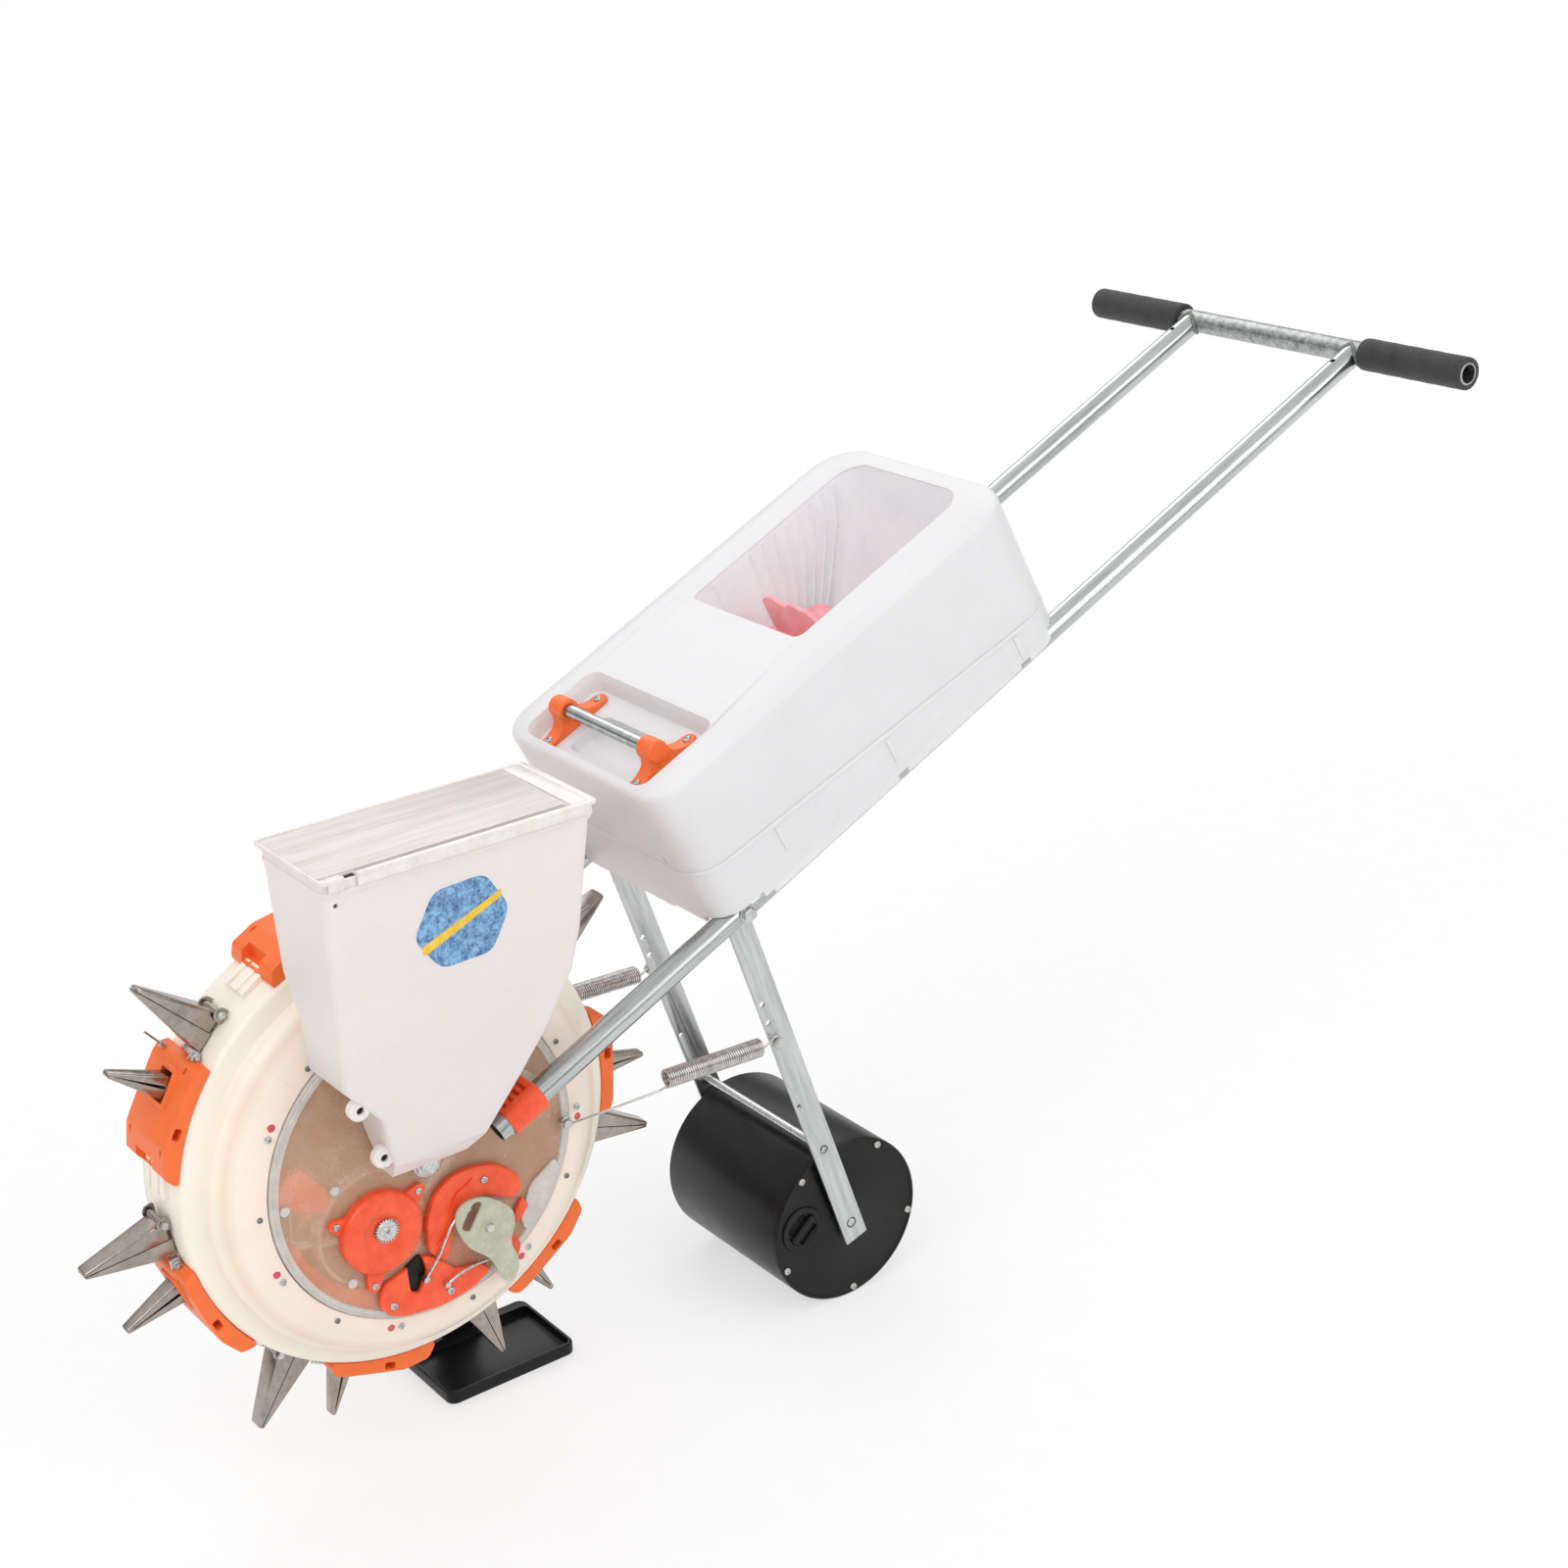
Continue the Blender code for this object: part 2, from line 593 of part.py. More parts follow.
def make_axle():
    """The wheel's axle, with a collar outside each side plate and one outside the foot's boss."""
    collar = 0.011
    foot_near, foot_far = LEG_NEAR - GAP, LEG_FAR + GAP
    profile = [
        (0, foot_near),
        (collar, foot_near),
        (collar, HUB_OUTER + GAP),
        (AXLE_RADIUS, HUB_OUTER + GAP),
        (AXLE_RADIUS, -HUB_OUTER - GAP),
        (collar, -HUB_OUTER - GAP),
        (collar, -foot_near),
        (AXLE_RADIUS, -foot_near),
        (AXLE_RADIUS, -foot_far),
        (collar, -foot_far),
        (collar, -foot_far - 0.004),
        (0, -foot_far - 0.004),
    ]
    turned("axle", profile, AXLE @ ROUND_X, ZINC, 16)


HOUSING_INNER = 0.055
HOUSING_OUTER = PLATE_INNER - GAP


def make_metering():
    """The orange housing behind the left plate, the seed roller in it and the brush lever."""
    y, z = METER_CENTRE
    centre = AXLE @ Matrix.Translation((0, y, z)) @ ROUND_X
    housing = cylinder("metering_housing", METER_RADIUS + 0.007, HOUSING_INNER, HOUSING_OUTER,
                       centre, ORANGE, 28)
    second = AXLE @ Matrix.Translation((0, 0.046, -0.080)) @ ROUND_X
    arm = cylinder("housing_arm", 0.038, HOUSING_INNER + 0.001, HOUSING_OUTER - 0.001, second,
                   cutter=True, steps=24)
    outer, inner = PLATE_RADIUS - 0.0068, PLATE_RADIUS - 0.0298
    band = arc((0, 0), outer, 222, 300, 8) + arc((0, 0), inner, 300, 222, 8)
    crescent = plate("housing_crescent", band, HOUSING_INNER + 0.002, HOUSING_OUTER - 0.002,
                     AXLE @ SIDE_VIEW, cutter=True)
    y0, y1, z0, z1 = SEED_WINDOW
    wall = 0.0025
    neck = box("housing_neck", (HOUSING_INNER + 0.003, y0 - wall, METER_CENTRE[1] + 0.01),
               (HOUSING_OUTER - 0.001, y1 + wall, z1 + wall), AXLE, cutter=True)
    web = box("housing_web", (HOUSING_INNER + 0.0035, -0.060, -inner - 0.013),
              (HOUSING_OUTER - 0.0035, 0.030, -0.085), AXLE, cutter=True)
    join(housing, arm, crescent, neck, web)
    pocket = cylinder("roller_pocket", METER_RADIUS + RUNNING, HOUSING_INNER + 0.004,
                      HOUSING_OUTER + 0.01, centre, cutter=True, steps=28)
    throat = box("housing_throat", (HOUSING_INNER + 0.003 + wall, y0, METER_CENTRE[1] + 0.015),
                 (HOUSING_OUTER - 0.001 - wall, y1, z1), AXLE, cutter=True)
    mouth = box("housing_mouth", (HOUSING_OUTER - 0.008, y0, z0), (HOUSING_OUTER + 0.01, y1, z1),
                AXLE, cutter=True)
    cut(housing, pocket, throat, mouth)
    low = HOUSING_INNER + 0.004 + RUNNING
    profile = [
        (0, PLATE_OUTER + 0.006),
        (0.006, PLATE_OUTER + 0.006),
        (0.006, HOUSING_OUTER - 0.001),
        (METER_RADIUS, HOUSING_OUTER - 0.001),
        (METER_RADIUS, low),
        (0, low),
    ]
    turned("seed_roller", profile, centre, ORANGE, 28)
    ly, lz = LEVER_PIVOT
    lever_frame = AXLE @ Matrix.Translation((0, ly, lz)) @ SIDE_VIEW
    outline = arc((0, 0), 0.026, 40, 290, 12) + [(0.026, -0.022), (0.024, -0.008)]
    lever = plate("brush_lever", outline, LEVER_INNER, LEVER_OUTER, lever_frame, PALE)
    cut(lever, cylinder("lever_hole", LEVER_STUD_RADIUS + GAP, LEVER_INNER - 0.01,
                        LEVER_OUTER + 0.01, lever_frame, cutter=True, steps=16))


def make_hopper():
    """The tapering seed hopper outside the left plate, and its sliding lid."""
    def sections(inset, top, bottom):
        levels = [
            (HOPPER_TOP + top, HOPPER_INNER, HOPPER_OUTER, HOPPER_FRONT, HOPPER_REAR),
            (AXLE_HEIGHT + RIM_RADIUS + 0.004, 0.060, 0.162, -0.100, 0.121),
            (AXLE_HEIGHT + RIM_RADIUS - 0.032, HOPPER_STEP, 0.156, -0.099, 0.113),
            (AXLE_HEIGHT + 0.120, HOPPER_STEP, 0.146, -0.097, 0.092),
            (AXLE_HEIGHT + 0.084, HOPPER_STEP, 0.136, -0.062, 0.070),
            (AXLE_HEIGHT + 0.0125 + bottom, HOPPER_STEP, 0.116, -0.043, 0.026),
        ]
        return [section((x0 + inset, x1 - inset), (y0 + inset, y1 - inset), z)
                for z, x0, x1, y0, y1 in levels]

    hopper = loft("seed_hopper", sections(0, 0, 0), Matrix(), MILKY)
    cut(hopper, loft("hopper_inside", sections(HOPPER_WALL, 0.01, HOPPER_WALL), Matrix(),
                     cutter=True))
    y0, y1, z0, z1 = SEED_WINDOW
    wall = HOPPER_WALL
    join(hopper, box("hopper_spout", (PLATE_OUTER + GAP, y0 - wall, z0 - wall),
                     (HOPPER_STEP + wall, y1 + wall, z1 + wall), AXLE, cutter=True))
    cut(hopper, box("hopper_outlet", (PLATE_OUTER - 0.01, y0, z0), (HOPPER_STEP + 0.01, y1, z1),
                    AXLE, cutter=True))
    lid_low = HOPPER_TOP + GAP
    lid_high = lid_low + 0.0035
    lip = 0.0025
    side = HOPPER_WALL / 5
    lid = box("hopper_lid", (HOPPER_INNER - side - lip, HOPPER_FRONT - 0.002, lid_low - 0.007),
              (HOPPER_OUTER + side + lip, HOPPER_REAR + 0.002, lid_high), Matrix(), LID)
    cut(lid, box("lid_channel", (HOPPER_INNER - side, HOPPER_FRONT - 0.02, lid_low - 0.02),
                 (HOPPER_OUTER + side, HOPPER_REAR + 0.02, lid_low), Matrix(), cutter=True))


def make_handle_frame():
    """Two tubes, the cross bar welded to their upper ends and a foam grip on each end."""
    upright = Matrix.Rotation(math.radians(-90), 4, "X")
    bar_centre = TUBE_FRAME @ Vector((0, TUBE_LENGTH, 0))
    bar_frame = Matrix.Translation(bar_centre) @ ROUND_X
    inner = TUBE_RADIUS - TUBE_WALL
    for name, side in (("left", 1), ("right", -1)):
        frame = TUBE_FRAME @ Matrix.Translation((side * TUBE_X, 0, 0)) @ upright
        tube = turned(name + "_tube", ring(inner, TUBE_RADIUS, TUBE_START, TUBE_LENGTH - 0.003),
                      frame, ZINC, 20)
        cut(tube, cylinder(name + "_cope", TUBE_RADIUS + GAP, -0.2, 0.2, bar_frame, cutter=True,
                           steps=20))
        pin_frame = Matrix.Translation(PIVOT) @ ROUND_X
        cut(tube, cylinder(name + "_pin_hole", PIN_RADIUS + GAP, -0.2, 0.2, pin_frame,
                           cutter=True, steps=12))
    half = TUBE_X + BAR_OVERHANG
    turned("cross_bar", ring(inner - 0.0008, TUBE_RADIUS, -half, half), bar_frame, ZINC, 20)
    for name, side in (("left", 1), ("right", -1)):
        low, high = sorted((side * half, side * (half - GRIP_LENGTH)))
        bore = TUBE_RADIUS + GAP
        edge = 0.002
        profile = [
            (bore, high),
            (GRIP_RADIUS - edge, high),
            (GRIP_RADIUS, high - edge),
            (GRIP_RADIUS, low + edge),
            (GRIP_RADIUS - edge, low),
            (bore, low),
        ]
        turned(name + "_grip", profile, bar_frame, FOAM, 24)


def make_clamps():
    """The ribbed sleeve that clamps each tube's lower end to the pad of its side plate."""
    block_low, block_high, groove = -0.010, 0.0125, 0.0018
    for name, side in (("left", 1), ("right", -1)):
        bore_frame = (TUBE_FRAME @ Matrix.Translation((side * TUBE_X, 0, 0))
                      @ Matrix.Rotation(math.radians(-90), 4, "X"))
        clamp = cylinder(name + "_clamp", CLAMP_RADIUS, CLAMP_START, CLAMP_END, bore_frame,
                         ORANGE, 20)
        round_edges(clamp, 0.0015, 1, 60)
        x0, x1 = sorted((side * TUBE_X, side * (TUBE_X - CLAMP_REACH)))
        block = box(name + "_clamp_block", (x0, CLAMP_START + 0.001, block_low),
                    (x1, CLAMP_END - 0.001, block_high), TUBE_FRAME, cutter=True)
        join(clamp, round_edges(block, 0.002, 1))
        cut(clamp, cylinder(name + "_clamp_bore", TUBE_RADIUS + GAP, -0.02, 0.08, bore_frame,
                            cutter=True, steps=20))
        x0, x1 = sorted((side * (TUBE_X - CLAMP_REACH + 0.003), side * (TUBE_X - 0.002)))
        for i in range(4):
            start = CLAMP_START + 0.0055 + i * 0.0072
            cut(clamp, box(f"{name}_clamp_groove_{i}", (x0, start, block_high - groove),
                           (x1, start + 0.0034, block_high + 0.01), TUBE_FRAME, cutter=True))


def box_outline(inset):
    half = BOX_HALF_WIDTH - inset
    return rounded_rectangle(-half, half, BOX_START + inset, BOX_END - inset,
                             BOX_FRONT_CORNER - inset, BOX_REAR_CORNER - inset, 4)


TUB_FLOOR = TUBE_RADIUS + GAP
BOX_MIDDLE = (BOX_START + BOX_END) / 2
SPLIT_FRAME = (TUBE_FRAME @ Matrix.Translation((0, BOX_MIDDLE, BOX_SPLIT))
               @ Matrix.Rotation(math.radians(-BOX_SPLIT_ANGLE), 4, "X"))
SPLIT_REACH = 0.3


def make_box_tub():
    """The lower tub, which sits on the tubes with its skirts beside them."""
    tub = plate("box_tub", box_outline(0), BOX_SKIRT, BOX_TOP, TUBE_FRAME, MILKY)
    cut(tub, plate("tub_inside", box_outline(BOX_WALL), TUB_FLOOR + BOX_WALL, BOX_TOP + 0.02,
                   TUBE_FRAME, cutter=True))
    cut(tub, box("above_split", (-SPLIT_REACH, -SPLIT_REACH, 0), (SPLIT_REACH, SPLIT_REACH, 0.3),
                 SPLIT_FRAME, cutter=True))
    cut(tub, plate("tub_underside", box_outline(BOX_WALL), BOX_SKIRT - 0.02, TUB_FLOOR,
                   TUBE_FRAME, cutter=True))
    for name, side in (("left", 1), ("right", -1)):
        clear = TUBE_RADIUS + 0.0012
        x0, x1 = side * TUBE_X - clear, side * TUBE_X + clear
        cut(tub, box(name + "_tube_notch", (x0, BOX_START - 0.02, BOX_SKIRT - 0.02),
                     (x1, BOX_END + 0.02, TUB_FLOOR), TUBE_FRAME, cutter=True))
        x0, x1 = sorted((side * (BOX_HALF_WIDTH - 0.009), side * (BOX_HALF_WIDTH + 0.01)))
        cut(tub, box(name + "_bolt_notch", (x0, BOX_START - 0.02, BOX_SKIRT - 0.02),
                     (x1, PIVOT_ALONG_TUBE + 0.020, TUB_FLOOR), TUBE_FRAME, cutter=True))
    start = TUBE_FRAME @ Vector((-BOX_HALF_WIDTH + 0.023, BOX_START + BOX_WALL / 2,
                                 TUB_FLOOR + 0.022))
    inlet_y, inlet_z = FEED_INLET
    face = Vector((-PLATE_OUTER - GAP, inlet_y, AXLE_HEIGHT + inlet_z))
    path = [start, face + Vector((-0.025, 0.016, 0.007)), face + Vector((-0.013, 0, 0)), face]
    join(tub, wire("feed_chute", path, FEED_RADIUS, Matrix(), MILKY, 2))
    path[0] = start + (path[0] - path[1]).normalized() * BOX_WALL * 3
    path[-1] = face + Vector((0.01, 0, 0))
    cut(tub, wire("feed_bore", path, FEED_RADIUS - FEED_WALL, Matrix(), MILKY, 2))


HANDLE_PLACE = (BOX_START + 0.044, BOX_TOP + 0.0055)   # along the tubes and above them
HANDLE_RADIUS = 0.0062
SADDLE_INNER = 0.060
SADDLE_OUTER = 0.080
SADDLE_SHIFT = 0.006   # the saddles' feet lie this much behind the carry tube
RECESS_FLOOR = BOX_TOP - 0.015
RECESS_START = BOX_START + 0.011
RECESS_END = BOX_START + 0.091
RECESS_HALF = 0.092
HOLLOW_HALF = 0.050    # of the deeper hollow for the fingers


def make_box_shell():
    """The upper shell, with its filling mouth and the hollow under the handle."""
    shell = plate("box_shell", box_outline(0), BOX_SKIRT, BOX_TOP, TUBE_FRAME, MILKY)
    round_edges(shell, 0.006, 2)
    inside = plate("shell_inside", box_outline(BOX_WALL), BOX_SKIRT - 0.05, BOX_TOP - BOX_WALL,
                   TUBE_FRAME, cutter=True)
    cut(shell, inside)
    along, _ = HANDLE_PLACE
    corner = 0.012
    hollows = (("recess", RECESS_HALF, RECESS_START, RECESS_END, RECESS_FLOOR),
               ("hollow", HOLLOW_HALF, along - 0.024, along + 0.024, RECESS_FLOOR - 0.010))
    for name, half, front, rear, floor in hollows:
        outline = rounded_rectangle(-half - BOX_WALL, half + BOX_WALL, front - BOX_WALL,
                                    rear + BOX_WALL, corner + BOX_WALL)
        join(shell, plate("handle_" + name, outline, floor - BOX_WALL, BOX_TOP - 0.001,
                          TUBE_FRAME, cutter=True))
    for name, half, front, rear, floor in hollows:
        cut(shell, plate(f"handle_{name}_space", rounded_rectangle(-half, half, front, rear, corner),
                         floor, BOX_TOP + 0.02, TUBE_FRAME, cutter=True))
    mouth = plate("filling_mouth",
                  rounded_rectangle(-MOUTH_HALF_WIDTH, MOUTH_HALF_WIDTH, MOUTH_START, MOUTH_END,
                                    0.008, 0.024),
                  BOX_TOP - 0.02, BOX_TOP + 0.02, TUBE_FRAME, cutter=True)
    below = box("below_split", (-SPLIT_REACH, -SPLIT_REACH, -0.2), (SPLIT_REACH, SPLIT_REACH, GAP),
                SPLIT_FRAME, cutter=True)
    cut(shell, mouth, below)


AGITATOR_PLACE = (BOX_START + 0.258, 0.080)   # along the tubes and above them
PADDLE_REACH = 0.050


def make_agitator():
    """Four paddles on a shaft across the box."""
    frame = TUBE_FRAME @ Matrix.Translation((0, *AGITATOR_PLACE)) @ ROUND_X
    half = BOX_HALF_WIDTH - BOX_WALL - RUNNING
    shaft = cylinder("agitator", 0.005, -half, half, frame, RED, 16)
    reach, thick, low, high = PADDLE_REACH, 0.0025, -0.052, 0.030
    join(shaft, box("paddles_level", (-thick, -reach, low), (thick, reach, high), frame,
                    cutter=True))
    join(shaft, box("paddles_upright", (-reach, -thick, low + 0.001), (reach, thick, high - 0.001),
                    frame, cutter=True))


def make_carry_handle():
    """The steel carry tube and its two orange saddles on the box's top."""
    along, height = HANDLE_PLACE
    frame = TUBE_FRAME @ Matrix.Translation((0, along, height)) @ ROUND_X
    turned("carry_tube", ring(HANDLE_RADIUS - 0.001, HANDLE_RADIUS, -0.074, 0.074), frame, ZINC, 20)
    foot = RECESS_FLOOR + GAP
    for name, side in (("left", 1), ("right", -1)):
        x0, x1 = sorted((side * SADDLE_INNER, side * SADDLE_OUTER))
        saddle = box(name + "_saddle", (x0, along - 0.011, foot),
                     (x1, along + 0.011, height + 0.0095), TUBE_FRAME, ORANGE)
        round_edges(saddle, 0.004, 2)
        ears = plate(name + "_saddle_foot",
                     rounded_rectangle(x0 + 0.0005, x1 - 0.0005, along + SADDLE_SHIFT - 0.031,
                                       along + SADDLE_SHIFT + 0.031, 0.009),
                     foot, foot + 0.004, TUBE_FRAME, cutter=True)
        join(saddle, ears)
        low, high = sorted((side * 0.04, side * 0.0745))
        cut(saddle, cylinder(name + "_saddle_bore", HANDLE_RADIUS + GAP, low, high, frame,
                             cutter=True, steps=24))


PIN_RADIUS = 0.004
ROLLER_AXLE_RADIUS = 0.006
CROSS_ROD_RADIUS = 0.004


def make_arms():
    """The two flat arms with their pivot pins and spring studs, all turning round the pivot."""
    pivot_frame = Matrix.Translation(PIVOT)
    length = ARM_DROP.length
    half = ARM_WIDTH / 2
    for name, side in (("left", 1), ("right", -1)):
        low = side * ARM_X - ARM_THICKNESS / 2
        high = side * ARM_X + ARM_THICKNESS / 2
        arm = box(name + "_arm", (low, -half, -length - 0.020), (high, half, 0.007), ARM_FRAME,
                  STRIP)
        spacer_face = side * (TUBE_X - TUBE_RADIUS - GAP)
        spacer = cylinder(name + "_spacer", 0.008, *sorted((side * ARM_X, spacer_face)),
                          pivot_frame @ ROUND_X, cutter=True, steps=16)
        outer = sorted((side * (ARM_X + 0.001), side * (TUBE_X + TUBE_RADIUS + 0.004)))
        pin = cylinder(name + "_pin", PIN_RADIUS, *outer, pivot_frame @ ROUND_X, cutter=True,
                       steps=12)
        face = side * (TUBE_X + TUBE_RADIUS + GAP)
        head = cylinder(name + "_pin_head", 0.0075, *sorted((face, face + side * 0.005)),
                        pivot_frame @ ROUND_X, cutter=True, steps=6)
        stud_frame = Matrix.Translation(SPRING_BOLT) @ ROUND_X
        stud = cylinder(name + "_stud", 0.003, *sorted((side * ARM_X, side * (ARM_X + 0.011))),
                        stud_frame, cutter=True, steps=12)
        stud_head = cylinder(name + "_stud_head", 0.0055,
                             *sorted((side * (ARM_X + 0.0085), side * (ARM_X + 0.012))),
                             stud_frame, cutter=True, steps=6)
        join(arm, spacer, pin, head, stud, stud_head)
        for hole, radius, distance in (("axle", ROLLER_AXLE_RADIUS, length),
                                       ("rod", CROSS_ROD_RADIUS, CROSS_ROD_FROM_PIVOT)):
            place = ARM_FRAME @ Matrix.Translation((0, 0, -distance)) @ ROUND_X
            cut(arm, cylinder(f"{name}_{hole}_hole", radius + GAP, side * ARM_X - 0.01,
                              side * ARM_X + 0.01, place, cutter=True, steps=20))


def make_arm_rods():
    """The roller's axle and the thin cross rod, each with a shoulder inside and a head outside."""
    inner = ARM_X - ARM_THICKNESS / 2 - GAP
    outer = ARM_X + ARM_THICKNESS / 2 + GAP
    along = ARM_DROP.normalized()
    rod_place = PIVOT + along * CROSS_ROD_FROM_PIVOT
    rods = (("roller_axle", ROLLER_AXLE_RADIUS, 0.0095, ROLLER_AXLE),
            ("cross_rod", CROSS_ROD_RADIUS, 0.0065, rod_place))
    for name, radius, head, place in rods:
        profile = [
            (0, outer + 0.004),
            (head, outer + 0.004),
            (head, outer),
            (radius, outer),
            (radius, inner),
            (head, inner),
            (head, inner - 0.003),
            (radius, inner - 0.003),
        ]
        profile += [(r, -x) for r, x in reversed(profile)]
        turned(name, profile, Matrix.Translation(place) @ ROUND_X, STRIP, 12)


FILLER_DISTANCE = 0.052
FILLER_ANGLE = 170.0
FILLER_RADIUS = 0.0225


def make_roller():
    """The hollow press roller, its screwed end plate and the filler cap."""
    frame = Matrix.Translation(ROLLER_AXLE) @ ROUND_X
    bore = ROLLER_AXLE_RADIUS + GAP
    wall = 0.003
    end = ROLLER_HALF - wall
    profile = [
        (ROLLER_RADIUS - wall, end),
        (ROLLER_RADIUS, end),
        (ROLLER_RADIUS, -ROLLER_HALF),
        (bore, -ROLLER_HALF),
        (bore, end),
        (bore + wall, end),
        (bore + wall, -ROLLER_HALF + wall),
        (ROLLER_RADIUS - wall, -ROLLER_HALF + wall),
    ]
    turned("roller_drum", profile, frame, BLACK, 44)
    low = end + GAP
    cap_frame = (Matrix.Translation(ROLLER_AXLE)
                 @ Matrix.Translation((0, FILLER_DISTANCE * math.cos(math.radians(FILLER_ANGLE)),
                                       FILLER_DISTANCE * math.sin(math.radians(FILLER_ANGLE))))
                 @ ROUND_X)
    plate_end = turned("roller_end", ring(bore, ROLLER_RADIUS, low, ROLLER_HALF), frame, BLACK, 44)
    cut(plate_end, cylinder("filler_hole", FILLER_RADIUS + GAP, low - 0.01, ROLLER_HALF + 0.01,
                            cap_frame, cutter=True, steps=28))
    cap = cylinder("filler_cap", FILLER_RADIUS, low - 0.004, ROLLER_HALF + 0.001, cap_frame,
                   BLACK, 28)
    for side in (1, -1):
        cut(cap, box(f"cap_grip_{side}", (side * 0.011 - 0.0075, -0.016, ROLLER_HALF - 0.003),
                     (side * 0.011 + 0.0075, 0.016, ROLLER_HALF + 0.01),
                     cap_frame @ Matrix.Rotation(math.radians(40), 4, "Z"), cutter=True))


def make_parking_foot():
    """The black foot: a shallow tray on a leg that hangs from the right end of the axle."""
    wall = 0.003
    boss = cylinder("parking_foot", 0.017, -LEG_FAR, -LEG_NEAR, AXLE @ ROUND_X, BLACK, 24)
    tray_middle = (FOOT_FRONT + FOOT_REAR) / 2
    root, end = 0.011, 0.020
    outline = [(-root, 0), (tray_middle - end, -AXLE_HEIGHT + 0.002),
               (tray_middle + end, -AXLE_HEIGHT + 0.002), (root, 0)]
    leg = plate("foot_leg", outline[::-1], -LEG_FAR, -LEG_NEAR, AXLE @ SIDE_VIEW, cutter=True)
    tray = plate("foot_tray",
                 rounded_rectangle(FOOT_FAR, FOOT_NEAR, FOOT_FRONT, FOOT_REAR, 0.008),
                 0, FOOT_RIM, Matrix(), cutter=True)
    hollow = plate("foot_tray_inside",
                   rounded_rectangle(FOOT_FAR + 0.012, FOOT_NEAR - wall, FOOT_FRONT + wall,
                                     FOOT_REAR - wall, 0.005),
                   wall, FOOT_RIM + 0.01, Matrix(), cutter=True)
    join(boss, leg, tray)
    cut(boss, hollow)
    cut(boss, cylinder("foot_bore", AXLE_RADIUS + GAP, -0.1, -0.08, AXLE @ ROUND_X, cutter=True,
                       steps=24))


SPRING_X = ARM_X + 0.0045
STUD_X = PLATE_OUTER + 0.0075
EYE_RADIUS = 0.0047
CURL_POINTS = 8


def spring_path(side):
    """One tension spring: an eye on the plate's stud, a long hook, the coil and a rear eye."""
    stud = Vector((side * STUD_X, WIRE_STUD[0], AXLE_HEIGHT + WIRE_STUD[1]))
    bolt = SPRING_BOLT + Vector((side * SPRING_X, 0, 0))
    start = bolt + Vector((0, -SPRING_START, 0.0045))
    end = bolt + Vector((0, -SPRING_END, 0.0005))
    points = []
    for i in range(8):
        angle = math.radians(-325 + i * 290 / 7)
        points.append(stud + EYE_RADIUS * Vector((0, math.cos(angle), math.sin(angle))))
    points.append(start + Vector((0, -0.007, -SPRING_RADIUS - 0.0015)))
    steps = CURL_POINTS * SPRING_TURNS
    for i in range(steps + 1):
        turn = 2 * math.pi * i / CURL_POINTS
        offset = SPRING_RADIUS * Vector((side * math.sin(turn), 0, -math.cos(turn)))
        points.append(start.lerp(end, i / steps) + offset)
    points.append(end + Vector((0, 0.0035, SPRING_RADIUS * -0.3)))
    for i in range(8):
        angle = math.radians(145 - i * 290 / 7)
        points.append(bolt + EYE_RADIUS * Vector((0, math.cos(angle), math.sin(angle))))
    return points


def least_gap(path, radius, skip):
    """The smallest distance between the wire's surfaces, leaving out points close along it."""
    nearest = min((a - b).length for i, a in enumerate(path) for b in path[i + skip:])
    return nearest - 2 * radius


def make_springs():
    for name, side in (("left", 1), ("right", -1)):
        path = spring_path(side)
        wire(name + "_spring", path, SPRING_WIRE, Matrix(), STRIP, 1)
        gap = least_gap(path, SPRING_WIRE, 7) * 1000
        print(f"{name}_spring: {SPRING_TURNS} curls, least gap {gap:.2f} mm")


make_wheel_drum()
make_seed_bills()
make_fertiliser_bills()
make_side_plates()
make_axle()
make_metering()
make_hopper()
make_handle_frame()
make_clamps()
make_box_tub()
make_box_shell()
make_agitator()
make_carry_handle()
make_arms()
make_arm_rods()
make_roller()
make_parking_foot()
make_springs()
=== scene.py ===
"""Looks of the hand seeder: its pieces and finishes, the floor, the light and the camera."""

import json
import math

import bmesh
import bpy
from bpy.props import FloatProperty, FloatVectorProperty, IntProperty, PointerProperty
from mathutils import Matrix, Vector

